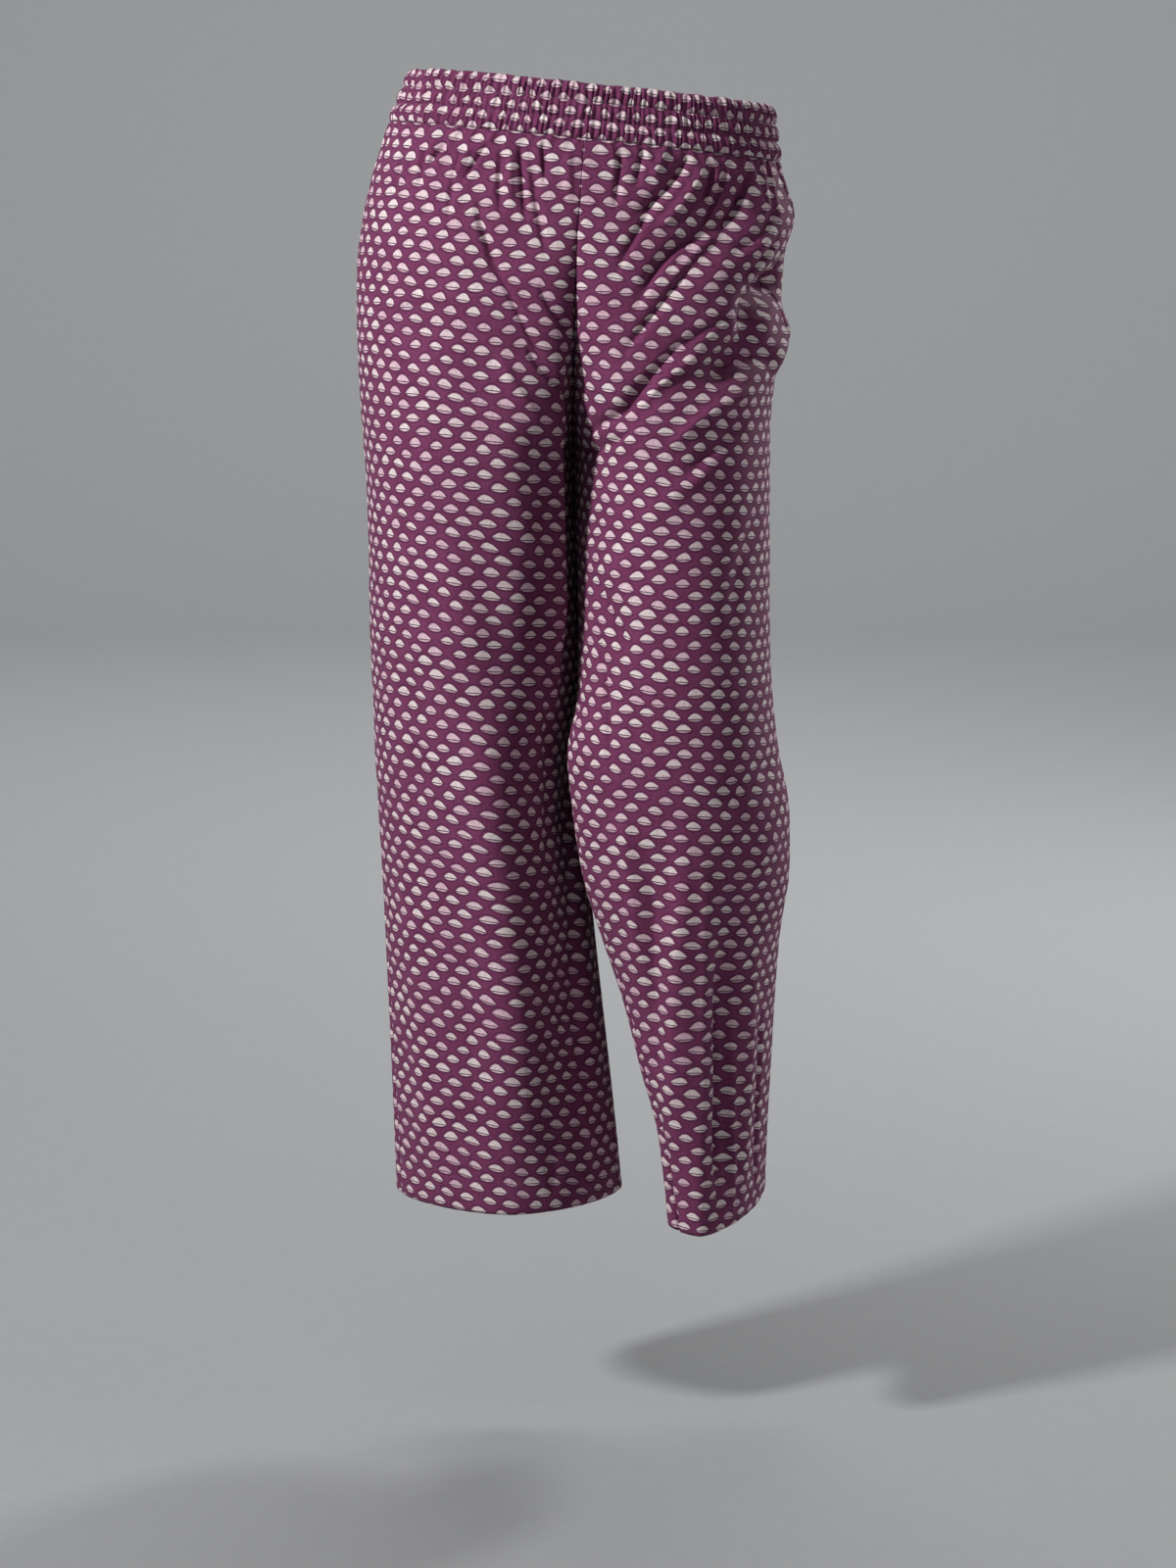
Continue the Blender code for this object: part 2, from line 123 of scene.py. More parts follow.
LEFT_LEG = (
    Section(-21, 150.5, -2.5, -107, 107, -2.5, -2.5, 0, -107, 107, 2.15),
    Section(-40, 155, -4, -110, 110, 0, 0, 0, -109.5, 109.5, 2.15),
    Section(-70, 158, -6, -115, 116, 6, 6, 0, -113, 114, 2.15),
    Section(-100, 156, -8.5, -118, 122, 14, 18, 0, -112, 118, 2.15),
    Section(-130, 154, -9.5, -121, 127, 24, 32, 0, -106, 120, 2.15),
    Section(-170, 151, -10.5, -124, 130, 40, 48, -2, -88, 114, 2.15),
    Section(-210, 147, -11.5, -127, 128, 54, 60, -4, -56, 90, 2.15),
    Section(-240, 145, -12, -128, 123, 60, 64, -6, -24, 54, 2.15),
    Section(-262, 145, -12, -129, 118, 63, 66, -8, 12, 12, 2.1),
    Section(-300, 145, -10, -131, 110, 66, 68, -12, -8, -8, 2.05),
    Section(-340, 145, -9, -133, 102, 67, 69, -16, -26, -26, 2),
    Section(-400, 145.5, -7.5, -136, 92, 68, 70, -20, -36, -36, 2),
    Section(-450, 147.5, -8, -138, 86, 70, 72, -24, -52, -52, 2),
    Section(-500, 153, -16.5, -138, 82, 70, 74, -26, -66, -66, 2),
    Section(-550, 162, -12, -135, 81, 71, 76, -24, -67, -67, 2),
    Section(-600, 163, -4, -130, 83, 73, 80, -18, -65, -65, 1.95),
    Section(-650, 156.5, 12, -125, 87, 76, 83, -12, -65, -65, 1.9),
    Section(-700, 153, 29, -119, 92, 79, 86, -6, -66, -66, 1.8),
    Section(-750, 151, 42, -114, 97, 83, 93, -2, -69, -69, 1.7),
    Section(-800, 148.5, 56, -108, 101, 87, 100, 0, -73, -73, 1.6),
    Section(-880, 146, 65.5, -101, 106, 90, 110, 2, -77, -77, 1.45),
)

# %% [markdown]
# ## The large folds
# Cloth that hangs from a bent hip falls into a few large folds. Each has a line from start by way
# of middle to end, a height (a trough's is negative), and a half width to each side. These are
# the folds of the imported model, so the fine cloth lies on it.

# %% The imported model's folds
Fold = namedtuple(
    "Fold", "face start_x start_z middle_x middle_z end_x end_z past height outer inner"
)

RIGHT_FOLDS = (
    Fold("front", -84, -440, -62, -610, -52, -850, 0, 6, 44, 22),
    Fold("front", -150, -560, -132, -740, -122, -870, 0, 3, 16, 14),
    Fold("front", -84, -72, -62, -130, -34, -190, 0, -3, 16, 14),
    Fold("front", -58, -160, -38, -200, -24, -246, 0, -3, 14, 10),
    Fold("back", -160, -236, -100, -272, -36, -286, 0, -6, 16, 22),
    Fold("back", -150, -500, -96, -528, -40, -520, 0, -4, 26, 26),
    Fold("back", -60, -330, -92, -560, -84, -850, 0, 7, 34, 34),
    Fold("back", -136, -470, -134, -640, -126, -850, 0, -4, 18, 18),
)

LEFT_FOLDS = (
    Fold("front", 150, -66, 150, -84, 112, -116, 50, 6, 20, 17),
    Fold("front", 150, -128, 144, -137, 108, -162, 45, -23, 12, 14),
    Fold("front", 150, -160, 150, -178, 138, -202, 50, 9, 14, 14),
    Fold("front", 142, -160, 116, -182, 84, -212, 0, -11, 13, 13),
    Fold("front", 138, -132, 112, -150, 66, -184, 0, 5, 14, 12),
    Fold("front", 146, -200, 118, -208, 78, -232, 0, 4, 14, 12),
    Fold("front", 128, -46, 98, -92, 44, -142, 0, -5, 13, 16),
    Fold("front", 142, -88, 104, -122, 44, -180, 0, 4, 18, 14),
    Fold("front", 60, -196, 34, -226, 10, -250, 0, -4, 10, 12),
    Fold("front", 78, -500, 69, -690, 68, -885, 0, 5, 24, 13),
    Fold("front", 110, -600, 108, -730, 107, -890, 0, -8, 11, 11),
    Fold("front", 134, -640, 127, -760, 124, -890, 0, 4, 10, 12),
    Fold("back", 138, -226, 84, -262, 24, -280, 0, -6, 16, 22),
    Fold("back", 132, -478, 78, -506, 16, -500, 0, -7, 26, 26),
    Fold("back", 66, -310, 92, -560, 100, -850, 0, 6, 32, 32),
    Fold("back", 128, -520, 130, -700, 124, -850, 0, -4, 16, 16),
)

# %% [markdown]
# ## The small creases
# Between the large folds, light cotton has finer creases: short drags from the waist, pulls
# towards the crotch, and soft wrinkles behind the knee. They are placed one by one, uneven in
# length, depth and spacing, because even ones look like a machine's.

# %% Creases that only the fine cloth has
RIGHT_CREASES = (
    # Where the front turns away from the light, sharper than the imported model's ridge
    Fold("front", -90, -440, -68, -630, -48, -850, 0, 5.8, 30, 22),
    # Tucks that hang from the band
    Fold("front", -54, -23, -51, -48, -47, -92, 0, -2.6, 2.2, 4),
    Fold("front", -60, -24, -59, -46, -57, -76, 0, 2.2, 5, 4),
    Fold("front", -74, -22, -84, -34, -99, -58, 0, -2.8, 2.4, 4),
    Fold("front", -88, -24, -96, -38, -106, -60, 0, 2.0, 5, 5),
    Fold("front", -35, -22, -34, -36, -32, -58, 0, -2.2, 2.2, 4),
    Fold("front", -106, -22, -115, -30, -125, -42, 0, -2.4, 2.4, 4),
    Fold("front", -127, -26, -129, -42, -131, -64, 0, -2.6, 3.2, 5),
    Fold("front", -142, -26, -148, -44, -151, -66, 0, -2.2, 4, 5),
    Fold("front", -16, -26, -14, -46, -12, -76, 0, 1.8, 5, 4),
    Fold("front", -66, -24, -68, -52, -66, -84, 0, -2.2, 2.6, 4),
    Fold("front", -96, -26, -104, -52, -108, -92, 0, -1.8, 3, 5),
    Fold("front", -46, -30, -40, -68, -30, -118, 0, -1.9, 2.6, 5),
    # Drags from the hip towards the crotch
    Fold("front", -86, -62, -80, -96, -66, -136, 0, -2.0, 2.6, 5),
    Fold("front", -38, -130, -27, -152, -12, -176, 0, -2.4, 2.4, 5),
    Fold("front", -46, -176, -33, -200, -16, -236, 0, -3.0, 3.6, 7),
    Fold("front", -70, -184, -54, -214, -36, -262, 0, 2.2, 9, 6),
    Fold("front", -160, -152, -128, -140, -96, -145, 0, 2.0, 6, 3.6),
    Fold("front", -160, -176, -134, -166, -112, -168, 0, -1.2, 9, 9),
    Fold("front", -60, -300, -48, -332, -40, -380, 0, 1.6, 12, 8),
    Fold("front", -26, -150, -30, -310, -32, -490, 0, 9.0, 44, 14),
    Fold("front", -54, -180, -58, -310, -56, -440, 0, 4.0, 26, 24),
    Fold("front", -90, -70, -66, -128, -26, -216, 0, -2.0, 2.2, 4),
    Fold("front", -120, -330, -96, -372, -84, -436, 0, 2.0, 22, 16),
    Fold("front", -148, -420, -138, -478, -134, -550, 0, -1.6, 14, 18),
    # Long soft folds down the shin
    Fold("front", -36, -430, -30, -520, -34, -610, 0, -2.4, 12, 12),
    Fold("front", -12, -480, -8, -660, -2, -850, 0, -6.2, 52, 16),
    Fold("front", -14, -560, -12, -640, -8, -760, 0, 1.0, 10, 8),
    Fold("front", -96, -620, -92, -740, -88, -862, 0, -1.8, 16, 16),
    Fold("front", -14, -700, -4, -780, 2, -862, 0, 2.2, 8, 7),
    Fold("front", -34, -760, -30, -810, -28, -868, 0, -2.2, 8, 7),
    # The seat, the back of the thigh and the back of the knee
    Fold("back", -40, -24, -38, -52, -42, -98, 0, -3.0, 4, 6),
    Fold("back", -72, -24, -78, -50, -80, -84, 0, -2.5, 4, 6),
    Fold("back", -104, -24, -112, -46, -122, -84, 0, -2.7, 4, 6),
    Fold("back", -134, -26, -140, -42, -144, -62, 0, -2.2, 4, 5),
    Fold("back", -24, -120, -34, -168, -60, -214, 0, -3.2, 6, 10),
    Fold("back", -20, -180, -44, -232, -84, -262, 0, 2.8, 8, 8),
    Fold("back", -30, -230, -60, -286, -112, -312, 0, -3.4, 7, 10),
    Fold("back", -148, -300, -120, -330, -76, -336, 0, -2.4, 8, 12),
    Fold("back", -40, -470, -84, -492, -140, -476, 0, 2.8, 12, 10),
    Fold("back", -44, -552, -90, -566, -136, -556, 0, 2.6, 10, 12),
    Fold("back", -60, -512, -92, -516, -122, -506, 0, -2.2, 7, 8),
    Fold("back", -48, -640, -56, -740, -54, -860, 0, -2.4, 14, 12),
)

LEFT_CREASES = (
    # Tucks that hang from the band, drawn towards the crotch
    Fold("front", 78, -30, 64, -56, 28, -86, 0, -4.0, 3.4, 7),
    Fold("front", 90, -38, 74, -66, 46, -94, 0, 2.4, 6, 4.5),
    Fold("front", 98, -38, 94, -54, 86, -72, 0, -3.0, 3.2, 5),
    Fold("front", 124, -36, 118, -72, 92, -97, 0, -4.2, 3.8, 8),
    Fold("front", 94, -95, 62, -110, 34, -154, 0, -4.2, 4, 8),
    Fold("front", 112, -84, 84, -106, 52, -140, 0, 2.2, 6, 4),
    Fold("front", 144, -96, 132, -114, 114, -132, 0, -3.0, 3.6, 6),
    Fold("front", 26, -24, 24, -50, 20, -78, 0, -2.6, 3.4, 5),
    Fold("front", 44, -23, 40, -42, 36, -60, 0, -2.2, 3.2, 4),
    Fold("front", 60, -22, 56, -36, 48, -52, 0, 1.8, 4, 4),
    Fold("front", 108, -36, 100, -66, 78, -98, 0, -2.8, 2.8, 5),
    Fold("front", 54, -60, 40, -90, 18, -128, 0, -2.4, 2.8, 6),
    Fold("front", 82, -118, 56, -148, 22, -192, 0, -2.8, 3.2, 6),
    Fold("front", 120, -150, 92, -164, 58, -190, 0, -2.4, 3.0, 6),
    Fold("front", 140, -26, 141, -44, 144, -66, 0, -2.5, 3.4, 5),
    # The hollow beside the bent hip, and the pulls to the crotch
    Fold("front", 150, -146, 132, -158, 118, -161, 0, -3.6, 3.6, 5),
    Fold("front", 144, -186, 122, -190, 96, -201, 0, -4.0, 9, 9),
    Fold("front", 146, -70, 132, -92, 104, -113, 0, -2.8, 4, 8),
    Fold("front", 92, -180, 62, -200, 26, -236, 0, 3.2, 7, 5),
    Fold("front", 74, -172, 48, -202, 20, -232, 0, -3.4, 4, 7),
    Fold("front", 52, -202, 26, -228, -4, -250, 0, -3.6, 3.6, 6),
    Fold("front", 36, -238, 12, -256, -8, -264, 0, -2.8, 3.6, 5),
    Fold("front", 134, -212, 96, -226, 56, -264, 0, 3.0, 9, 6),
    Fold("front", 128, -240, 98, -256, 68, -290, 0, -2.6, 7, 9),
    Fold("front", 100, -270, 66, -290, 32, -334, 0, 2.4, 10, 8),
    Fold("front", 2, -352, 18, -386, 36, -416, 0, -3.2, 5, 8),
    Fold("front", 10, -330, 34, -372, 60, -400, 0, 2.0, 9, 9),
    Fold("front", 140, -300, 122, -340, 112, -400, 0, -2.0, 12, 14),
    Fold("front", 6, -390, 14, -448, 20, -514, 0, -3.0, 3.6, 5),
    # The knee, and the long folds of the shin
    Fold("front", 150, -494, 128, -520, 94, -528, 0, -2.6, 7, 10),
    Fold("front", 154, -558, 134, -580, 102, -590, 0, 2.6, 9, 8),
    Fold("front", 66, -530, 68, -673, 69, -846, 0, 2.4, 18, 7),
    Fold("front", 26, -520, 34, -600, 44, -680, 0, 2.2, 9, 9),
    Fold("front", 44, -560, 52, -660, 58, -780, 0, -2.8, 8, 9),
    Fold("front", 88, -560, 90, -680, 88, -868, 0, 1.6, 7, 7),
    Fold("front", 104, -640, 105, -760, 105, -880, 0, -3.2, 5, 5),
    Fold("front", 116, -700, 115, -790, 116, -888, 0, 2.2, 5, 5),
    Fold("front", 139, -700, 137, -780, 136, -880, 0, -2.6, 5, 6),
    # The seat, the back of the thigh and the back of the knee
    Fold("back", 34, -24, 34, -58, 28, -98, 0, -3.0, 4, 6),
    Fold("back", 70, -24, 76, -52, 74, -88, 0, -2.5, 4, 6),
    Fold("back", 104, -24, 112, -50, 120, -82, 0, -2.8, 4, 6),
    Fold("back", 134, -26, 138, -44, 142, -64, 0, -2.2, 4, 5),
    Fold("back", 22, -130, 36, -176, 62, -212, 0, -3.2, 6, 10),
    Fold("back", 16, -196, 42, -238, 84, -252, 0, 2.8, 8, 8),
    Fold("back", 20, -246, 60, -290, 112, -300, 0, -3.4, 7, 10),
    Fold("back", 136, -318, 100, -342, 58, -346, 0, -2.5, 8, 12),
    Fold("back", 20, -452, 70, -470, 126, -448, 0, 3.2, 11, 10),
    Fold("back", 24, -540, 76, -552, 124, -536, 0, 2.8, 10, 12),
    Fold("back", 44, -500, 80, -506, 112, -492, 0, -2.2, 7, 8),
    Fold("back", 78, -640, 82, -740, 84, -850, 0, -2.4, 14, 12),
)

CREASE_DEPTH = 1.45
CREASE_WIDTH = 0.7


def crisp(creases):
    """Pressed cotton creases sharply, so each crease is deeper and narrower than it was sketched."""
    return tuple(
        fold._replace(
            height=fold.height * CREASE_DEPTH,
            outer=fold.outer * CREASE_WIDTH,
            inner=fold.inner * CREASE_WIDTH,
        )
        for fold in creases
    )


Leg = namedtuple("Leg", "name sections folds outward hem_tilt seed")
RIGHT = Leg("right", RIGHT_LEG, RIGHT_FOLDS + crisp(RIGHT_CREASES), -1, 0.0, 11)
LEFT = Leg("left", LEFT_LEG, LEFT_FOLDS + crisp(LEFT_CREASES), 1, 0.12, 23)
print("folds and creases:", len(RIGHT.folds), "on the right leg,", len(LEFT.folds), "on the left")

# %% [markdown]
# ## From a chart to points
# `section_at` reads the chart at any level, `ring` draws that section as a closed line of rounded
# quarters, and `fold_relief` says how far each point is pushed out or in by the folds near it.


# %% Read the chart and draw a section
def smoothstep(t):
    t = np.clip(t, 0, 1)
    return t * t * (3 - 2 * t)


def section_at(sections, level):
    table = np.array(sections, float)[::-1]
    levels = table[:, 0]
    rates = np.diff(table, axis=0) / np.diff(levels)[:, None]
    before, after = rates[:-1], rates[1:]
    turns = before * after <= 0
    total = np.where(turns, 1, before + after)
    between = np.where(turns, 0, 2 * before * after / total)
    slopes = np.vstack([rates[:1], between, rates[-1:]])
    i = int(np.clip(np.searchsorted(levels, level) - 1, 0, len(levels) - 2))
    span = levels[i + 1] - levels[i]
    t = (level - levels[i]) / span
    value = (
        (2 * t**3 - 3 * t**2 + 1) * table[i]
        + (t**3 - 2 * t**2 + t) * span * slopes[i]
        + (3 * t**2 - 2 * t**3) * table[i + 1]
        + (t**3 - t**2) * span * slopes[i + 1]
    )
    return Section(*value)


def quarter(centre_x, centre_y, reach_x, reach_y, roundness=ROUNDNESS):
    turn = np.linspace(0, math.pi / 2, QUARTER_STEPS)
    power = 2 / roundness
    x = centre_x + reach_x * np.cos(turn).clip(0) ** power
    y = centre_y + reach_y * np.sin(turn).clip(0) ** power
    return np.stack([x, y], axis=1)


def ring(leg, level):
    s = section_at(leg.sections, level)
    inner = s.inner
    seat_to_inner = quarter(s.seat, s.seam_back, inner - s.seat, s.back - s.seam_back)
    outer_to_seat = quarter(s.seat, s.side, s.outer - s.seat, s.back - s.side)
    rounding = s.front_round
    outer_to_crest = quarter(s.crest, s.side, s.outer - s.crest, s.front - s.side, rounding)
    inner_depth = s.front - s.seam_front
    crest_to_inner = quarter(s.crest, s.seam_front, inner - s.crest, inner_depth, rounding)
    points = np.concatenate(
        [seat_to_inner, outer_to_seat[::-1][1:], outer_to_crest[1:], crest_to_inner[::-1][1:]]
    )
    lengths = np.linalg.norm(np.diff(points, axis=0), axis=1)
    arcs = np.concatenate([[0], np.cumsum(lengths)])
    outer_edge = 2 * QUARTER_STEPS - 2
    return points, arcs - arcs[outer_edge]


def slope_at(level):
    return WAIST_SLOPE * smoothstep(1 - level / SLOPE_ENDS_LEVEL)


def height_at(leg, level, x, y):
    tilt = leg.hem_tilt * smoothstep((level - TILT_STARTS_LEVEL) / (HEM_LEVEL - TILT_STARTS_LEVEL))
    return level - slope_at(level) * x + tilt * y


def inseam_shift(level):
    return INSEAM_FORWARD * smoothstep((CROTCH_LEVEL - level) / INSEAM_SETTLES_OVER)


# %% Push the cloth out and in along its folds
def arc_of(leg, face, x, z):
    loop, arcs = ring(leg, z + slope_at(z) * x)
    on_face = arcs >= 0 if face == "front" else arcs <= 0
    order = np.argsort(loop[on_face, 0])
    return float(np.interp(x, loop[on_face, 0][order], arcs[on_face][order]))


def fold_line(leg, fold):
    t = np.linspace(0, 1, FOLD_SAMPLES)[:, None]
    start, middle, end = (
        np.array([arc_of(leg, fold.face, x, z), z])
        for x, z in (
            (fold.start_x, fold.start_z),
            (fold.middle_x, fold.middle_z),
            (fold.end_x, fold.end_z),
        )
    )
    start[0] -= fold.past if fold.face == "front" else -fold.past
    return (1 - t) * (1 - 2 * t) * start + 4 * t * (1 - t) * middle + t * (2 * t - 1) * end


def fold_relief(leg, arcs, heights):
    relief = np.zeros_like(arcs)
    along = np.linspace(0, 1, FOLD_SAMPLES)
    share_along = smoothstep(along / FOLD_TAPER) * smoothstep((1 - along) / FOLD_TAPER)
    for fold in leg.folds:
        line = fold_line(leg, fold)
        reach = 3 * max(fold.outer, fold.inner)
        near = (
            (arcs > line[:, 0].min() - reach)
            & (arcs < line[:, 0].max() + reach)
            & (heights > line[:, 1].min() - reach)
            & (heights < line[:, 1].max() + reach)
        )
        steps = np.gradient(line, axis=0)
        across = arcs[near][:, None] - line[:, 0]
        down = heights[near][:, None] - line[:, 1]
        distance = np.hypot(across, down)
        nearest = np.argmin(distance, axis=1)
        index = np.arange(len(nearest))
        step = steps[nearest]
        turn = step[:, 0] * down[index, nearest] - step[:, 1] * across[index, nearest]
        length = np.hypot(step[:, 0], step[:, 1])
        ahead = step[:, 0] * across[index, nearest] + step[:, 1] * down[index, nearest]
        # between samples the distance is measured to the line itself, so folds have no beads
        inside = (nearest > 0) & (nearest < FOLD_SAMPLES - 1)
        distance = np.where(inside, np.abs(turn) / length, distance[index, nearest])
        place = nearest + np.where(inside, ahead / length**2, 0)
        share = np.interp(place, np.arange(FOLD_SAMPLES), share_along)
        inner_side = turn > 0 if fold.face == "front" else turn < 0
        width = np.where(inner_side, fold.inner, fold.outer)
        relief[near] += fold.height * share * np.exp(-((distance / width) ** 2))
    return relief


# %% [markdown]
# ## Gathers under the waistband
# Elastic pulls the wide panel together, so short pleats run down from the stitched row. Each one
# has its own place, depth, slant and length. They are drawn from a seeded list, so that every
# run gives the same cloth.

# %% Short pleats and seam puckers
GATHER_PITCH = (4.6, 11.5)
GATHER_HEIGHT = (0.7, 2.3)
GATHER_HALF_WIDTH = (1.5, 3.2)
GATHER_LENGTH = (9.0, 56.0)
GATHER_SLANT = 0.18
PANEL_TOP = -20.5


def pleat_relief(seed, arcs, depths):
    """Ridges that start under the waistband and die out down the panel."""
    dice = random.Random(seed)
    relief = np.zeros_like(arcs)
    place = arcs.min()
    while place < arcs.max():
        place += dice.uniform(*GATHER_PITCH)
        height = dice.uniform(*GATHER_HEIGHT)
        half_width = dice.uniform(*GATHER_HALF_WIDTH)
        length = dice.triangular(*GATHER_LENGTH, GATHER_LENGTH[0])
        slant = dice.uniform(-GATHER_SLANT, GATHER_SLANT)
        across = (arcs - place - slant * depths) / (half_width * (1 + depths / length * 0.4))
        relief += height * np.exp(-(across**2)) * np.exp(-((depths / length) ** 1.6))
    return relief


def soft_noise(seed, along, pitch):
    """A smooth, seeded wave of height 1 with uneven steps about pitch long."""
    dice = random.Random(seed)
    knots = [along.min() - pitch]
    while knots[-1] < along.max() + pitch:
        knots.append(knots[-1] + pitch * dice.uniform(0.6, 1.5))
    values = [dice.uniform(-1, 1) for _ in knots]
    knots, values = np.array(knots), np.array(values)
    i = np.clip(np.searchsorted(knots, along) - 1, 0, len(knots) - 2)
    t = smoothstep((along - knots[i]) / (knots[i + 1] - knots[i]))
    return values[i] * (1 - t) + values[i + 1] * t


SEAM_GROOVE = 2.4
SEAM_HALF_WIDTH = 1.7
PUCKER_HEIGHT = 0.4
PUCKER_REACH = 9.0


def seam_relief(seed, from_edge, levels):
    """The groove of a sewn seam, with the small puckers that its thread pulls up beside it."""
    groove = -SEAM_GROOVE * np.exp(-((from_edge / SEAM_HALF_WIDTH) ** 2))
    pucker = soft_noise(seed, levels, 6.5) * np.exp(-(((from_edge - 4) / PUCKER_REACH) ** 2))
    return groove + PUCKER_HEIGHT * pucker


# %% [markdown]
# ## A panel
# A panel is a grid of points from its side seam to its inner seam. Every point also keeps its
# place on the flat cloth in metres, because a print is laid on flat cloth and then goes with it
# into the folds. Above the hips the flat cloth is wider than the panel. Its pleats hide most of
# the surplus, so the motifs narrow only a little.

# %% Build the four panels
PANEL_COLUMNS = 216
PANEL_LEVELS = np.concatenate(
    [
        np.linspace(PANEL_TOP, -110, 38),
        np.linspace(-110, -290, 56)[1:],
        np.linspace(-290, HEM_LEVEL + 34, 56)[1:],
        np.linspace(HEM_LEVEL + 34, HEM_LEVEL, 14)[1:],
    ]
)
HIP_LEVEL = -170.0
GRAIN_LINE = 120.0
SURPLUS_IN_SIGHT = 0.25
HEM_HEIGHT = 28.0
HEM_ROUNDING = 2.0
CLOTH_THICKNESS = 0.0006
JOIN_DIP = 1.0


def panel_grid(leg, is_front, levels, columns):
    """(x, y, arc) of a panel's points, and the direction out of the leg at each."""
    places, outs, arc_rows = [], [], []
    for level in levels:
        loop, arcs = ring(leg, level)
        way = np.gradient(loop, arcs, axis=0)
        end = (arcs[-1] if is_front else arcs[0]) - inseam_shift(level)
        wanted = np.linspace(SIDE_SEAM_FORWARD, end, columns)
        wrapped = np.where(wanted < arcs[0], wanted + arcs[-1] - arcs[0], wanted)
        x, y, way_x, way_y = (np.interp(wrapped, arcs, column) for column in (*loop.T, *way.T))
        out = np.stack([way_y, -way_x], axis=1) * -leg.outward
        outs.append(out / np.linalg.norm(out, axis=1, keepdims=True))
        places.append(np.stack([x, y], axis=1))
        arc_rows.append(wanted)
    return np.array(places), np.array(outs), np.array(arc_rows)


def hem_relief(above_hem, arcs, seed):
    """The fold of the hem's edge, and the pull of its stitch row."""
    edge = -0.5 * smoothstep(1 - above_hem / HEM_ROUNDING)
    row = -0.45 * np.exp(-(((above_hem - HEM_HEIGHT) / 1.6) ** 2))
    twist = 0.35 * soft_noise(seed, arcs + 0.8 * above_hem, 9.0)
    return edge + row + twist * smoothstep(1 - above_hem / (HEM_HEIGHT + 6))


def panel_points(leg, is_front, levels, columns, inset=0.0):
    """The panel's points in millimetres, and each one's place on the flat cloth."""
    places, outs, arcs = panel_grid(leg, is_front, levels, columns)
    level = np.broadcast_to(levels[:, None], arcs.shape)
    z = np.array([height_at(leg, v, *row.T) for v, row in zip(levels, places)])
    side_edge = np.abs(arcs - arcs[:, :1])
    inner_edge = np.abs(arcs - arcs[:, -1:])
    relief = fold_relief(leg, arcs, z) * smoothstep(inner_edge / 14)
    relief += pleat_relief(leg.seed + is_front, arcs, PANEL_TOP - level) * smoothstep(
        inner_edge / 4
    )
    relief += seam_relief(leg.seed + 5, side_edge, level)
    below_crotch = smoothstep((CROTCH_LEVEL + 30 - level) / 60)
    relief += seam_relief(77 if is_front else 78, inner_edge, level) * below_crotch
    relief += hem_relief(level - HEM_LEVEL, arcs, leg.seed + 9)
    relief -= JOIN_DIP * np.exp(-(((level - PANEL_TOP) / 2.2) ** 2))
    points = np.dstack([places + outs * (relief - inset)[..., None], z])
    return points, arcs, level


def cloth_place(arcs, level, points):
    """(u, v) of each point on the flat cloth, in metres, from a straight grain down the panel."""
    grain = math.copysign(GRAIN_LINE, arcs[0, -1])
    width = np.abs(arcs[:, -1] - arcs[:, 0])
    widest = np.interp(-HIP_LEVEL, -level[:, 0], width)
    surplus = np.where(level[:, 0] > HIP_LEVEL, widest / width - 1, 0.0)
    fullness = 1 + SURPLUS_IN_SIGHT * surplus
    u = (arcs - grain) * fullness[:, None]
    v = -(points[..., 2] + WAIST_SLOPE * points[..., 0])
    return np.dstack([u, v]) * MM


def grid_mesh(name, points, cloth, flip, closed=False):
    """A mesh of quads between the rows of points, with the flat cloth's places as its UV map."""
    rows, columns = points.shape[:2]
    row, column = np.mgrid[0 : rows - 1, 0 : columns if closed else columns - 1]
    following = (column + 1) % columns
    corners = [
        row * columns + column,
        row * columns + following,
        (row + 1) * columns + following,
        (row + 1) * columns + column,
    ]
    faces = np.stack(corners, axis=-1).reshape(-1, 4)
    seam_cloth = cloth if not closed else np.concatenate([cloth, cloth[:, :1]], axis=1)
    if closed:
        seam_cloth[:, -1, 0] = cloth[:, -1, 0] + (cloth[:, -1, 0] - cloth[:, -2, 0])
    wide = seam_cloth.shape[1]
    next_place = column + 1
    places = [
        row * wide + column,
        row * wide + next_place,
        (row + 1) * wide + next_place,
        (row + 1) * wide + column,
    ]
    places = np.stack(places, axis=-1).reshape(-1, 4)
    if flip:
        faces, places = faces[:, ::-1], places[:, ::-1]
    mesh = bpy.data.meshes.new(name)
    mesh.from_pydata((points.reshape(-1, 3) * MM).tolist(), [], faces.tolist())
    layer = mesh.uv_layers.new(name="cloth")
    layer.data.foreach_set("uv", seam_cloth.reshape(-1, 2)[places.ravel()].ravel())
    mesh.shade_smooth()
    piece = bpy.data.objects.new(name, mesh)
    garment.objects.link(piece)
    return piece


def thicken(piece, thickness):
    """Real cloth has two faces: the printed one, and the paler inside."""
    solid = piece.modifiers.new("cloth thickness", "SOLIDIFY")
    solid.thickness = thickness
    solid.offset = -1
    solid.material_offset = 1
    solid.material_offset_rim = 0


garment = bpy.data.collections.new("trousers")
bpy.context.scene.collection.children.link(garment)
panels = {}
for leg in (RIGHT, LEFT):
    for is_front in (True, False):
        name = f"{'front' if is_front else 'back'}_{leg.name}_cloth"
        points, arcs, level = panel_points(leg, is_front, PANEL_LEVELS, PANEL_COLUMNS)
        cloth = cloth_place(arcs, level, points)
        panel = grid_mesh(name, points, cloth, flip=(leg.outward < 0) == is_front)
        thicken(panel, CLOTH_THICKNESS)
        panels[name] = panel
        cut_width = round(float(np.ptp(cloth[60, :, 0])), 3)
        print(name, len(panel.data.polygons), "faces, cut width", cut_width)

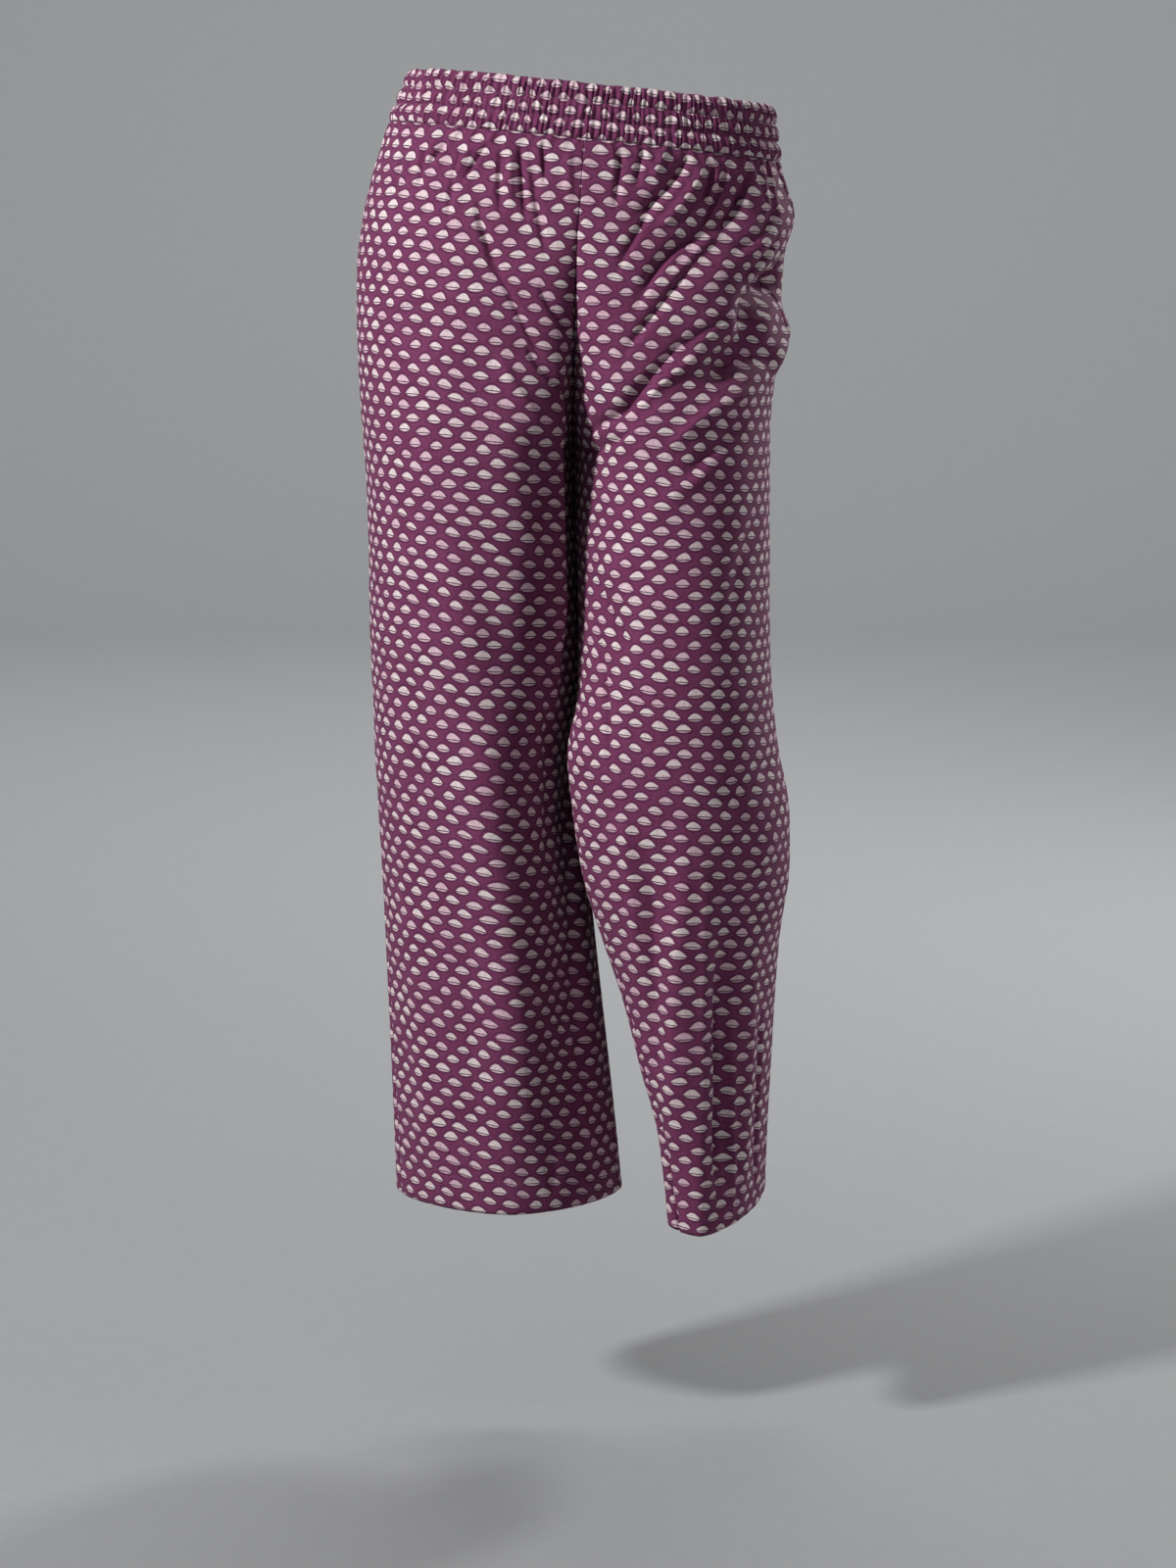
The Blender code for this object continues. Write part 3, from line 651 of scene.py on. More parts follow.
# %% [markdown]
# ## The gathered waistband
# The casing is sewn in three channels, and the elastic in each pulls the cloth into narrow
# upright gathers. Every gather keeps its own width, and at each stitched row it shifts a little,
# so it leans or kinks from channel to channel. The channels puff out between the rows.

# %% Build the waistband
BAND_COLUMNS = 1240
BAND_ROWS = 34
CHANNELS = 3
BAND_GATHERS = 186
GATHER_DEPTH = 2.3
CHANNEL_PUFF = 1.9
CLOTH_PER_GATHER = 6.7
GATHER_SHIFT = 0.32
BAND_SEED = 41


def band_ring(share_down):
    """The plain ring of the band: its points, outward directions and arcs, in millimetres."""
    half_width = BAND_TOP_HALF_WIDTH + share_down * (BAND_FOOT_HALF_WIDTH - BAND_TOP_HALF_WIDTH)
    half_depth = BAND_TOP_HALF_DEPTH + share_down * (BAND_FOOT_HALF_DEPTH - BAND_TOP_HALF_DEPTH)
    shift = BAND_TOP_SHIFT + share_down * (BAND_FOOT_SHIFT - BAND_TOP_SHIFT)
    right_back, left_back, left_front, right_front = (
        quarter(shift, 0, side * half_width, face * half_depth)
        for side, face in ((-1, 1), (1, 1), (1, -1), (-1, -1))
    )
    loop = np.concatenate(
        [left_back, right_back[::-1][1:], right_front[1:], left_front[::-1][1:]]
    )
    arcs = np.concatenate([[0], np.cumsum(np.linalg.norm(np.diff(loop, axis=0), axis=1))])
    way = np.gradient(loop, arcs, axis=0)
    wanted = np.linspace(0, arcs[-1], BAND_COLUMNS, endpoint=False)
    x, y, way_x, way_y = (np.interp(wanted, arcs, column) for column in (*loop.T, *way.T))
    out = np.stack([way_y, -way_x], axis=1)
    out /= np.linalg.norm(out, axis=1, keepdims=True)
    return np.stack([x, y], axis=1), out


def gather_chart():
    """Where each gather stands at the top edge, at each stitched row and at the foot, counted in
    gathers round the band, and how high it is in each channel."""
    dice = np.random.default_rng(BAND_SEED)
    steps = dice.uniform(0.6, 1.45, BAND_GATHERS)
    places = np.cumsum(steps) * BAND_GATHERS / steps.sum()
    shifts = dice.uniform(-GATHER_SHIFT, GATHER_SHIFT, (CHANNELS + 1, BAND_GATHERS))
    heights = dice.uniform(0.45, 1.0, (CHANNELS, BAND_GATHERS))
    return places + shifts, heights


GATHER_PLACES, GATHER_HEIGHTS = gather_chart()


def gather_phase(share_down):
    """The gather that each column of the band lies in, at this height, as a running number."""
    knots = np.linspace(0, 1, CHANNELS + 1)
    places = np.array([np.interp(share_down, knots, line) for line in GATHER_PLACES.T])
    count = np.arange(BAND_GATHERS)
    places = np.concatenate([places - BAND_GATHERS, places, places + BAND_GATHERS])
    count = np.concatenate([count - BAND_GATHERS, count, count + BAND_GATHERS])
    columns = np.arange(BAND_COLUMNS) * BAND_GATHERS / BAND_COLUMNS
    return np.interp(columns, places, count)


def band_relief(share_down, phase):
    """The gathers and the puff of the channels, in millimetres."""
    channel = min(int(share_down * CHANNELS), CHANNELS - 1)
    across_channel = share_down * CHANNELS - channel
    swell = math.sin(math.pi * min(max(across_channel, 0), 1)) ** 0.6
    heights = GATHER_HEIGHTS[channel][np.round(phase).astype(int) % BAND_GATHERS]
    ridge = (0.5 + 0.5 * np.cos(2 * math.pi * phase)) ** 0.8
    return GATHER_DEPTH * heights * ridge * (0.4 + 0.6 * swell) + CHANNEL_PUFF * swell - 0.3


def make_waistband():
    rows, cloth = [], []
    columns = np.arange(BAND_COLUMNS, dtype=float)
    wave = soft_noise(BAND_SEED, columns, 9.0) * 0.6 + soft_noise(BAND_SEED + 1, columns, 40.0) * 0.5
    for share_down in np.linspace(0, 1, BAND_ROWS):
        places, outs = band_ring(share_down)
        phase = gather_phase(share_down)
        points = places + outs * band_relief(share_down, phase)[:, None]
        level = BAND_HEIGHT * (0.5 - share_down) + wave * (1 - share_down) ** 2
        rows.append(np.column_stack([points, level - WAIST_SLOPE * points[:, 0]]))
        down = np.full(BAND_COLUMNS, -BAND_HEIGHT * (0.5 - share_down))
        cloth.append(np.column_stack([phase * CLOTH_PER_GATHER, down]))
    points, cloth = np.array(rows), np.array(cloth) * MM
    return grid_mesh("waistband_cloth", points, cloth, flip=True, closed=True)


waistband = make_waistband()
BAND_THICKNESS = 0.0012
thicken(waistband, BAND_THICKNESS)
print("waistband:", BAND_GATHERS, "gathers in", CHANNELS, "channels")

# %% [markdown]
# ## The turned-up hems
# The cloth's lower edge is folded up inside the leg and sewn down. From below one sees this
# strip, so it is its own ring of cloth, and its foot meets the fold of the leg's edge.

# %% Build the hem allowances
HEM_LEVELS = np.concatenate(
    [[HEM_LEVEL], np.linspace(HEM_LEVEL + 0.8, HEM_LEVEL + HEM_HEIGHT + 2, 12)]
)
HEM_COLUMNS = 150
HEM_INSET = 1.5


def make_hem(leg):
    sides = []
    for is_front in (True, False):
        levels = HEM_LEVELS[::-1]
        points, arcs, level = panel_points(leg, is_front, levels, HEM_COLUMNS, inset=HEM_INSET)
        edge = panel_points(leg, is_front, levels[-1:], HEM_COLUMNS, inset=0.3)[0]
        points[-1] = edge[0]
        sides.append((points, cloth_place(arcs, level, points)))
    (front, front_cloth), (back, back_cloth) = sides
    points = np.concatenate([front, back[:, ::-1][:, 1:-1]], axis=1)
    cloth = np.concatenate([front_cloth, back_cloth[:, ::-1][:, 1:-1]], axis=1)
    hem = grid_mesh(f"hem_{leg.name}_cloth", points, cloth, flip=leg.outward > 0, closed=True)
    thicken(hem, CLOTH_THICKNESS)
    return hem


hems = {leg.name: make_hem(leg) for leg in (RIGHT, LEFT)}
print("hem allowances:", sorted(hems))

# %% [markdown]
# ## The stitches
# Thread shows on the band's rows and round the hems. A stitch is a short rounded bar that lies
# in its groove, and hundreds of them share one mesh for each row.

# %% Sew the rows
THREAD_RADIUS = 0.00022
STITCH_LENGTH = 0.0026
STITCH_GAP = 0.0009
THREAD_SIDES = 5


def sew(name, line, outs):
    """One mesh of stitches along a closed line of points, in metres."""
    line = np.vstack([line, line[:1]])
    outs = np.vstack([outs, outs[:1]])
    arcs = np.concatenate([[0], np.cumsum(np.linalg.norm(np.diff(line, axis=0), axis=1))])
    count = int(arcs[-1] / (STITCH_LENGTH + STITCH_GAP))
    starts = np.arange(count) * arcs[-1] / count
    shares = (0.0, 0.25, 0.75, 1.0)
    heights = (-0.9, 0.6, 0.6, -0.9)
    turns = np.arange(THREAD_SIDES) * 2 * math.pi / THREAD_SIDES
    shape = bmesh.new()
    for start in starts:
        rings = []
        for share, height in zip(shares, heights):
            at = start + share * STITCH_LENGTH
            centre = Vector([np.interp(at, arcs, line[:, k]) for k in range(3)])
            out = Vector([np.interp(at, arcs, outs[:, k]) for k in range(3)]).normalized()
            radius = THREAD_RADIUS * (1.0 if 0 < share < 1 else 0.55)
            up = Vector((0, 0, 1))
            centre += out * height * THREAD_RADIUS
            rings.append(
                [
                    shape.verts.new(centre + radius * (math.cos(turn) * out + math.sin(turn) * up))
                    for turn in turns
                ]
            )
        for first, second in zip(rings, rings[1:]):
            for k in range(THREAD_SIDES):
                j = (k + 1) % THREAD_SIDES
                shape.faces.new([first[k], first[j], second[j], second[k]])
        shape.faces.new(rings[0][::-1])
        shape.faces.new(rings[-1])
    bmesh.ops.recalc_face_normals(shape, faces=shape.faces)
    mesh = bpy.data.meshes.new(name)
    shape.to_mesh(mesh)
    shape.free()
    mesh.shade_smooth()
    piece = bpy.data.objects.new(name, mesh)
    garment.objects.link(piece)
    print(name, count, "stitches")
    return piece


def band_row(share_down):
    places, outs = band_ring(share_down)
    points = places + outs * band_relief(share_down, gather_phase(share_down))[:, None]
    z = BAND_HEIGHT * (0.5 - share_down) - WAIST_SLOPE * points[:, 0]
    return np.column_stack([points, z]) * MM, np.column_stack([outs, np.zeros(len(outs))])


def hem_row(leg):
    levels = np.array([HEM_LEVEL + HEM_HEIGHT])
    rows, directions = [], []
    for is_front in (True, False):
        points = panel_points(leg, is_front, levels, PANEL_COLUMNS)[0][0]
        outs = panel_grid(leg, is_front, levels, PANEL_COLUMNS)[1][0]
        outs = np.column_stack([outs, np.zeros(len(outs))])
        rows.append(points if is_front else points[::-1][1:-1])
        directions.append(outs if is_front else outs[::-1][1:-1])
    return np.concatenate(rows) * MM, np.concatenate(directions)


stitches = [
    sew(f"band_stitches_{row}", *band_row(row / CHANNELS)) for row in range(1, CHANNELS)
]
stitches.append(sew("join_stitches", *band_row(0.995)))
stitches += [sew(f"hem_stitches_{leg.name}", *hem_row(leg)) for leg in (RIGHT, LEFT)]

# %% [markdown]
# ## The block print
# A carved wooden block prints a small half-round with a thin line left open near its foot, and a
# second block prints a fine dark outline that never quite meets it. The rows are half-dropped:
# every other column is moved down by half a step. Two groups of nodes make it: one draws a single
# lattice of motifs, and one lays two such lattices over each other.


# %% Helpers for node groups
def new_group(name, inputs, outputs):
    """A shader node group with float or vector sockets, and its first and last node."""
    tree = bpy.data.node_groups.new(name, "ShaderNodeTree")
    kinds = {"value": "NodeSocketFloat", "vector": "NodeSocketVector", "colour": "NodeSocketColor"}
    for direction, sockets in (("INPUT", inputs), ("OUTPUT", outputs)):
        for socket, kind, *default in sockets:
            made = tree.interface.new_socket(socket, in_out=direction, socket_type=kinds[kind])
            if default:
                made.default_value = default[0]
    return tree, tree.nodes.new("NodeGroupInput"), tree.nodes.new("NodeGroupOutput")


def feed(tree, socket, value):
    """Link a socket, or set its plain value."""
    if isinstance(value, bpy.types.NodeSocket):
        tree.links.new(value, socket)
    else:
        socket.default_value = value


def calc(tree, operation, *values, clamp=False):
    node = tree.nodes.new("ShaderNodeMath")
    node.operation = operation
    node.use_clamp = clamp
    for socket, value in zip(node.inputs, values):
        feed(tree, socket, value)
    return node.outputs[0]


def mix_colour(tree, share, first, second, blend="MIX"):
    node = tree.nodes.new("ShaderNodeMix")
    node.data_type = "RGBA"
    node.blend_type = blend
    feed(tree, node.inputs["Factor"], share)
    feed(tree, node.inputs["A"], first)
    feed(tree, node.inputs["B"], second)
    return node.outputs["Result"]


def noise(tree, vector, scale, detail=2.0, roughness=0.5, dimensions="3D"):
    node = tree.nodes.new("ShaderNodeTexNoise")
    node.noise_dimensions = dimensions
    feed(tree, node.inputs["Vector"], vector)
    feed(tree, node.inputs["Scale"], scale)
    node.inputs["Detail"].default_value = detail
    node.inputs["Roughness"].default_value = roughness
    return node.outputs["Fac"]


def combine(tree, x, y, z=0.0):
    node = tree.nodes.new("ShaderNodeCombineXYZ")
    for socket, value in zip(node.inputs, (x, y, z)):
        feed(tree, socket, value)
    return node.outputs[0]


def separate(tree, vector):
    node = tree.nodes.new("ShaderNodeSeparateXYZ")
    feed(tree, node.inputs[0], vector)
    return node.outputs


# %% One lattice of motifs
STEP = 18.9
MOTIF_HALF_WIDTH = 6.3
MOTIF_HEIGHT = 4.9
MOTIF_FOOT = 1.75
SLIT = 0.28
SOFT_EDGE = 0.22


def make_lattice_group():
    tree, given, result = new_group(
        "motif lattice",
        [("Cloth", "vector"), ("Shift", "value", 0.0), ("Seed", "value", 0.0)],
        [("Cream", "value"), ("Outline", "value"), ("Tint", "value")],
    )
    u, v, _ = separate(tree, given.outputs["Cloth"])
    across = calc(tree, "ADD", calc(tree, "MULTIPLY", u, 1000 / STEP), given.outputs["Shift"])
    down = calc(tree, "ADD", calc(tree, "MULTIPLY", v, 1000 / STEP), given.outputs["Shift"])
    column = calc(tree, "FLOOR", across)
    row = calc(tree, "FLOOR", down)
    dice = tree.nodes.new("ShaderNodeTexWhiteNoise")
    dice.noise_dimensions = "3D"
    feed(tree, dice.inputs["Vector"], combine(tree, column, row, given.outputs["Seed"]))
    first, second, third = separate(tree, dice.outputs["Color"])
    fourth = dice.outputs["Value"]

    def about(value, middle, spread):
        """A number near middle, different for each motif."""
        return calc(tree, "MULTIPLY_ADD", value, spread, middle - spread / 2)

    x = calc(tree, "MULTIPLY", calc(tree, "SUBTRACT", calc(tree, "FRACT", across), 0.5), STEP)
    y = calc(tree, "MULTIPLY", calc(tree, "SUBTRACT", 0.5, calc(tree, "FRACT", down)), STEP)
    x = calc(tree, "ADD", x, about(first, 0, 1.8))
    y = calc(tree, "ADD", y, about(second, 2.2, 1.5))
    y = calc(tree, "MULTIPLY_ADD", x, about(third, 0.03, 0.2), y)
    half_width = about(fourth, MOTIF_HALF_WIDTH, 1.8)
    height = about(calc(tree, "FRACT", calc(tree, "MULTIPLY", fourth, 7.3)), MOTIF_HEIGHT, 1.7)
    lean = about(calc(tree, "FRACT", calc(tree, "MULTIPLY", first, 5.1)), 0, 2.4)
    leaning_x = calc(tree, "MULTIPLY_ADD", y, calc(tree, "MULTIPLY", lean, 0.18), x)

    def arch(place, reach):
        share = calc(tree, "POWER", calc(tree, "ABSOLUTE", calc(tree, "DIVIDE", place, reach)), 1.9)
        return calc(tree, "POWER", calc(tree, "SUBTRACT", 1.0, share, clamp=True), 0.86)

    def within(distance):
        return calc(tree, "DIVIDE", distance, SOFT_EDGE, clamp=True)

    grain = noise(tree, given.outputs["Cloth"], 900.0)
    rough = calc(tree, "MULTIPLY", calc(tree, "SUBTRACT", grain, 0.5), 0.9)
    curve = arch(leaning_x, half_width)
    top = calc(tree, "ADD", calc(tree, "MULTIPLY", curve, height), rough)
    foot = calc(tree, "ADD", calc(tree, "MULTIPLY", curve, MOTIF_FOOT), calc(tree, "MULTIPLY", rough, 0.5))
    above = calc(
        tree,
        "MULTIPLY",
        within(calc(tree, "SUBTRACT", top, y)),
        within(calc(tree, "SUBTRACT", y, SLIT)),
    )
    below = calc(
        tree,
        "MULTIPLY",
        within(calc(tree, "ADD", foot, y)),
        within(calc(tree, "SUBTRACT", calc(tree, "MULTIPLY", y, -1.0), SLIT)),
    )
    inked = calc(tree, "MULTIPLY_ADD", third, -0.75, 1.2, clamp=True)
    body = calc(tree, "GREATER_THAN", curve, 0.001)
    cream = calc(tree, "MAXIMUM", above, calc(tree, "MULTIPLY", below, inked))
    cream = calc(tree, "MULTIPLY", cream, body)

    def line_at(distance, width):
        return calc(
            tree,
            "SUBTRACT",
            1.0,
            calc(tree, "DIVIDE", calc(tree, "ABSOLUTE", distance), width),
            clamp=True,
        )

    outline_x = calc(tree, "ADD", leaning_x, 0.4)
    outline_curve = arch(outline_x, calc(tree, "ADD", half_width, 1.5))
    outline_body = calc(tree, "GREATER_THAN", outline_curve, 0.001)
    upper = line_at(
        calc(tree, "SUBTRACT", calc(tree, "MULTIPLY", outline_curve, calc(tree, "ADD", height, 1.3)), y),
        0.55,
    )
    lower = line_at(
        calc(tree, "ADD", calc(tree, "MULTIPLY", outline_curve, MOTIF_FOOT + 1.1), y), 0.55
    )
    slit = line_at(y, SLIT + 0.25)
    slit = calc(tree, "MULTIPLY", slit, calc(tree, "GREATER_THAN", curve, 0.16))
    slit = calc(tree, "MULTIPLY", slit, inked)
    outline = calc(tree, "MULTIPLY", calc(tree, "MAXIMUM", upper, lower), outline_body)
    outline = calc(tree, "MULTIPLY", outline, calc(tree, "SUBTRACT", 1.0, cream))
    outline = calc(tree, "MAXIMUM", calc(tree, "MULTIPLY", outline, 0.9), slit)
    feed(tree, result.inputs["Cream"], cream)
    feed(tree, result.inputs["Outline"], outline)
    feed(tree, result.inputs["Tint"], calc(tree, "MULTIPLY", cream, second))
    return tree


lattice_group = make_lattice_group()


# %% The print, the weave and the wear of handling
def use_group(tree, group, **values):
    node = tree.nodes.new("ShaderNodeGroup")
    node.node_tree = group
    for name, value in values.items():
        feed(tree, node.inputs[name.replace("_", " ")], value)
    return node


def make_print_group():
    tree, given, result = new_group(
        "block print",
        [
            ("Cloth", "vector"),
            ("Seed", "value", 0.0),
            ("Ground", "colour", (0.1, 0.02, 0.06, 1)),
            ("Motif", "colour", (0.8, 0.7, 0.7, 1)),
            ("Motif Tint", "colour", (0.6, 0.3, 0.5, 1)),
            ("Line", "colour", (0.02, 0.01, 0.04, 1)),
            ("Strength", "value", 1.0),
        ],
        [("Color", "colour"), ("Ink", "value")],
    )
    cloth = given.outputs["Cloth"]
    even = use_group(tree, lattice_group, Cloth=cloth, Shift=0.0, Seed=given.outputs["Seed"])
    odd = use_group(tree, lattice_group, Cloth=cloth, Shift=0.5, Seed=given.outputs["Seed"])
    cream = calc(tree, "MAXIMUM", even.outputs["Cream"], odd.outputs["Cream"])
    tint = calc(tree, "MAXIMUM", even.outputs["Tint"], odd.outputs["Tint"])
    outline = calc(tree, "MAXIMUM", even.outputs["Outline"], odd.outputs["Outline"])
    patches = noise(tree, cloth, 38.0, 3.0)
    ground = mix_colour(
        tree,
        calc(tree, "MULTIPLY_ADD", patches, 1.6, -0.45, clamp=True),
        mix_colour(tree, 0.22, given.outputs["Ground"], (0.03, 0.006, 0.02, 1)),
        mix_colour(tree, 0.08, given.outputs["Ground"], (0.5, 0.2, 0.4, 1)),
    )
    u, v, _ = separate(tree, cloth)
    warp = noise(tree, combine(tree, u, calc(tree, "MULTIPLY", v, 0.05)), 1600.0, 1.0)
    weft = noise(tree, combine(tree, calc(tree, "MULTIPLY", u, 0.05), v), 1600.0, 1.0)
    threads = calc(tree, "SUBTRACT", calc(tree, "ADD", warp, weft), 1.0)
    ground = mix_colour(
        tree,
        calc(tree, "MULTIPLY_ADD", threads, 1.8, 0.25, clamp=True),
        ground,
        mix_colour(tree, 0.13, ground, (0.5, 0.18, 0.38, 1)),
    )
    outline = calc(tree, "MULTIPLY", outline, given.outputs["Strength"])
    printed = mix_colour(tree, outline, ground, given.outputs["Line"])
    patchy = noise(tree, cloth, 420.0, 3.0)
    worn = calc(tree, "MULTIPLY_ADD", patchy, -0.9, 1.38, clamp=True)
    motif = mix_colour(
        tree,
        calc(tree, "MULTIPLY_ADD", tint, 0.9, calc(tree, "MULTIPLY_ADD", patchy, 0.9, -0.62), clamp=True),
        given.outputs["Motif"],
        given.outputs["Motif Tint"],
    )
    ink = calc(tree, "MULTIPLY", calc(tree, "MULTIPLY", cream, worn), given.outputs["Strength"])
    feed(tree, result.inputs["Color"], mix_colour(tree, ink, printed, motif))
    feed(tree, result.inputs["Ink"], ink)
    return tree


def make_weave_group():
    tree, given, result = new_group(
        "plain weave",
        [("Cloth", "vector"), ("Threads", "value", 2200.0), ("Crumple", "value", 0.5)],
        [("Height", "value"), ("Slub", "value")],
    )
    cloth = given.outputs["Cloth"]
    u, v, _ = separate(tree, cloth)
    pitch = given.outputs["Threads"]
    warp = calc(tree, "SINE", calc(tree, "MULTIPLY", u, calc(tree, "MULTIPLY", pitch, 2 * math.pi)))
    weft = calc(tree, "SINE", calc(tree, "MULTIPLY", v, calc(tree, "MULTIPLY", pitch, 2 * math.pi)))
    weave = calc(tree, "MULTIPLY", warp, weft)
    slub = noise(tree, combine(tree, calc(tree, "MULTIPLY", u, 0.06), v), 900.0, 2.0)
    crumple = noise(tree, cloth, 70.0, 3.0, 0.55)
    fine = calc(tree, "ADD", calc(tree, "MULTIPLY", weave, 0.04), calc(tree, "MULTIPLY", slub, 0.12))
    height = calc(tree, "MULTIPLY_ADD", crumple, given.outputs["Crumple"], fine)
    feed(tree, result.inputs["Height"], height)
    feed(tree, result.inputs["Slub"], slub)
    return tree


print_group = make_print_group()
weave_group = make_weave_group()
print("node groups:", [group.name for group in bpy.data.node_groups])

# %% [markdown]
# ## The cotton
# The same printed cotton makes every piece. Its inside is paler, because the ink sits on the
# face. Cotton has no gloss, only a faint fuzz at grazing angles, which is what sheen is for.

# %% Mix the cottons
PLUM = (0.150, 0.023, 0.080, 1.0)
PLUM_INSIDE = (0.140, 0.030, 0.080, 1.0)
CREAM = (0.71, 0.615, 0.61, 1.0)
MAUVE = (0.60, 0.36, 0.46, 1.0)
NAVY = (0.022, 0.006, 0.032, 1.0)
THREAD_PLUM = (0.115, 0.026, 0.078, 1.0)


def make_cotton(name, ground, strength, seed, crumple, threads=2200.0):
    material = bpy.data.materials.new(name)
    material.use_nodes = True
    tree = material.node_tree
    shader = tree.nodes["Principled BSDF"]
    shader.inputs["Sheen Weight"].default_value = 0.06
    shader.inputs["Sheen Roughness"].default_value = 0.45
    shader.inputs["Sheen Tint"].default_value = (0.9, 0.75, 0.85, 1.0)
    shader.inputs["Specular IOR Level"].default_value = 0.2
    cloth = tree.nodes.new("ShaderNodeUVMap")
    cloth.uv_map = "cloth"
    printed = use_group(
        tree,
        print_group,
        Cloth=cloth.outputs["UV"],
        Seed=seed,
        Ground=ground,
        Motif=CREAM,
        Motif_Tint=MAUVE,
        Line=NAVY,
        Strength=strength,
    )
    woven = use_group(tree, weave_group, Cloth=cloth.outputs["UV"], Threads=threads, Crumple=crumple)
    tree.links.new(printed.outputs["Color"], shader.inputs["Base Color"])
    roughness = calc(tree, "MULTIPLY_ADD", woven.outputs["Slub"], 0.12, 0.76)
    tree.links.new(roughness, shader.inputs["Roughness"])
    bump = tree.nodes.new("ShaderNodeBump")
    bump.inputs["Strength"].default_value = 0.7
    bump.inputs["Distance"].default_value = 0.0012
    tree.links.new(woven.outputs["Height"], bump.inputs["Height"])
    tree.links.new(bump.outputs["Normal"], shader.inputs["Normal"])
    return material


printed_cotton = make_cotton("printed_cotton", PLUM, 1.0, 3.0, 0.5)
cotton_inside = make_cotton("printed_cotton_inside", PLUM_INSIDE, 0.35, 3.0, 0.5)
band_cotton = make_cotton("waistband_cotton", PLUM, 1.0, 8.0, 0.3)
band_inside = make_cotton("waistband_cotton_inside", PLUM_INSIDE, 0.35, 8.0, 0.3)


# %% Mix the thread
def make_thread():
    material = bpy.data.materials.new("plum_thread")
    material.use_nodes = True
    tree = material.node_tree
    shader = tree.nodes["Principled BSDF"]
    place = tree.nodes.new("ShaderNodeTexCoord").outputs["Object"]
    twist = noise(tree, place, 4200.0, 1.0)
    colour = mix_colour(tree, twist, THREAD_PLUM, (0.20, 0.06, 0.14, 1.0))
    tree.links.new(colour, shader.inputs["Base Color"])
    shader.inputs["Roughness"].default_value = 0.6
    shader.inputs["Sheen Weight"].default_value = 0.2
    bump = tree.nodes.new("ShaderNodeBump")
    bump.inputs["Strength"].default_value = 0.4
    bump.inputs["Distance"].default_value = 0.0002
    tree.links.new(twist, bump.inputs["Height"])
    tree.links.new(bump.outputs["Normal"], shader.inputs["Normal"])
    return material


thread = make_thread()
for piece in (*panels.values(), *hems.values()):
    piece.data.materials.append(printed_cotton)
    piece.data.materials.append(cotton_inside)
waistband.data.materials.append(band_cotton)
waistband.data.materials.append(band_inside)
for piece in stitches:
    piece.data.materials.append(thread)
print("materials:", [material.name for material in bpy.data.materials])

# %% [markdown]
# ## Put each piece on the body
# Every piece rides on the one body, and the imported node that each piece of cloth stands for is hidden.

for name, panel in panels.items():
    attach(panel, "root")
    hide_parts(name.removesuffix("_cloth"))
for side, hem in hems.items():
    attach(hem, "root")
    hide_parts(f"hem_{side}")
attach(waistband, "root")
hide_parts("waistband")
for piece in stitches:
    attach(piece, "root")

# %% [markdown]
# ## Floor, light and camera
# A pale sweep of paper stands under and behind the trousers. A large soft light from the image
# left models the folds, a weak one fills the shade, and the camera looks slightly down.

# %% Lay the paper sweep
FLOOR_LEVEL = -1.07
SWEEP_REACH = 8.0
SWEEP_RADIUS = 2.0
SWEEP_TOP = 5.0
SWEEP_SIDES = 96


def make_sweep():
    """A round sweep of paper, wide enough that the garment can be seen from every side."""
    profile = [(0.0, FLOOR_LEVEL), (SWEEP_REACH - SWEEP_RADIUS, FLOOR_LEVEL)]
    for k in range(1, 13):
        turn = k / 12 * math.pi / 2
        reach = SWEEP_REACH - SWEEP_RADIUS + SWEEP_RADIUS * math.sin(turn)
        profile.append((reach, FLOOR_LEVEL + SWEEP_RADIUS * (1 - math.cos(turn))))
    profile.append((SWEEP_REACH, SWEEP_TOP))
    turns = [side / SWEEP_SIDES * 2 * math.pi for side in range(SWEEP_SIDES)]
    points = [(r * math.cos(turn), r * math.sin(turn), z) for turn in turns for r, z in profile]
    count = len(profile)
    faces = []
    for side in range(SWEEP_SIDES):
        here, there = side * count, (side + 1) % SWEEP_SIDES * count
        faces += [(here + k, here + k + 1, there + k + 1, there + k) for k in range(count - 1)]
    mesh = bpy.data.meshes.new("paper_sweep")
    mesh.from_pydata(points, [], faces)
    mesh.shade_smooth()
    sweep = bpy.data.objects.new("paper_sweep", mesh)
    bpy.context.scene.collection.objects.link(sweep)
    paper = bpy.data.materials.new("pale_paper")
    paper.use_nodes = True
    tree = paper.node_tree
    shader = tree.nodes["Principled BSDF"]
    grain = noise(tree, tree.nodes.new("ShaderNodeTexCoord").outputs["Object"], 60.0, 3.0)
    colour = mix_colour(tree, grain, (0.26, 0.265, 0.27, 1), (0.28, 0.285, 0.29, 1))
    tree.links.new(colour, shader.inputs["Base Color"])
    shader.inputs["Roughness"].default_value = 0.8
    mesh.materials.append(paper)
    sweep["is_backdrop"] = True
    return sweep


make_sweep()


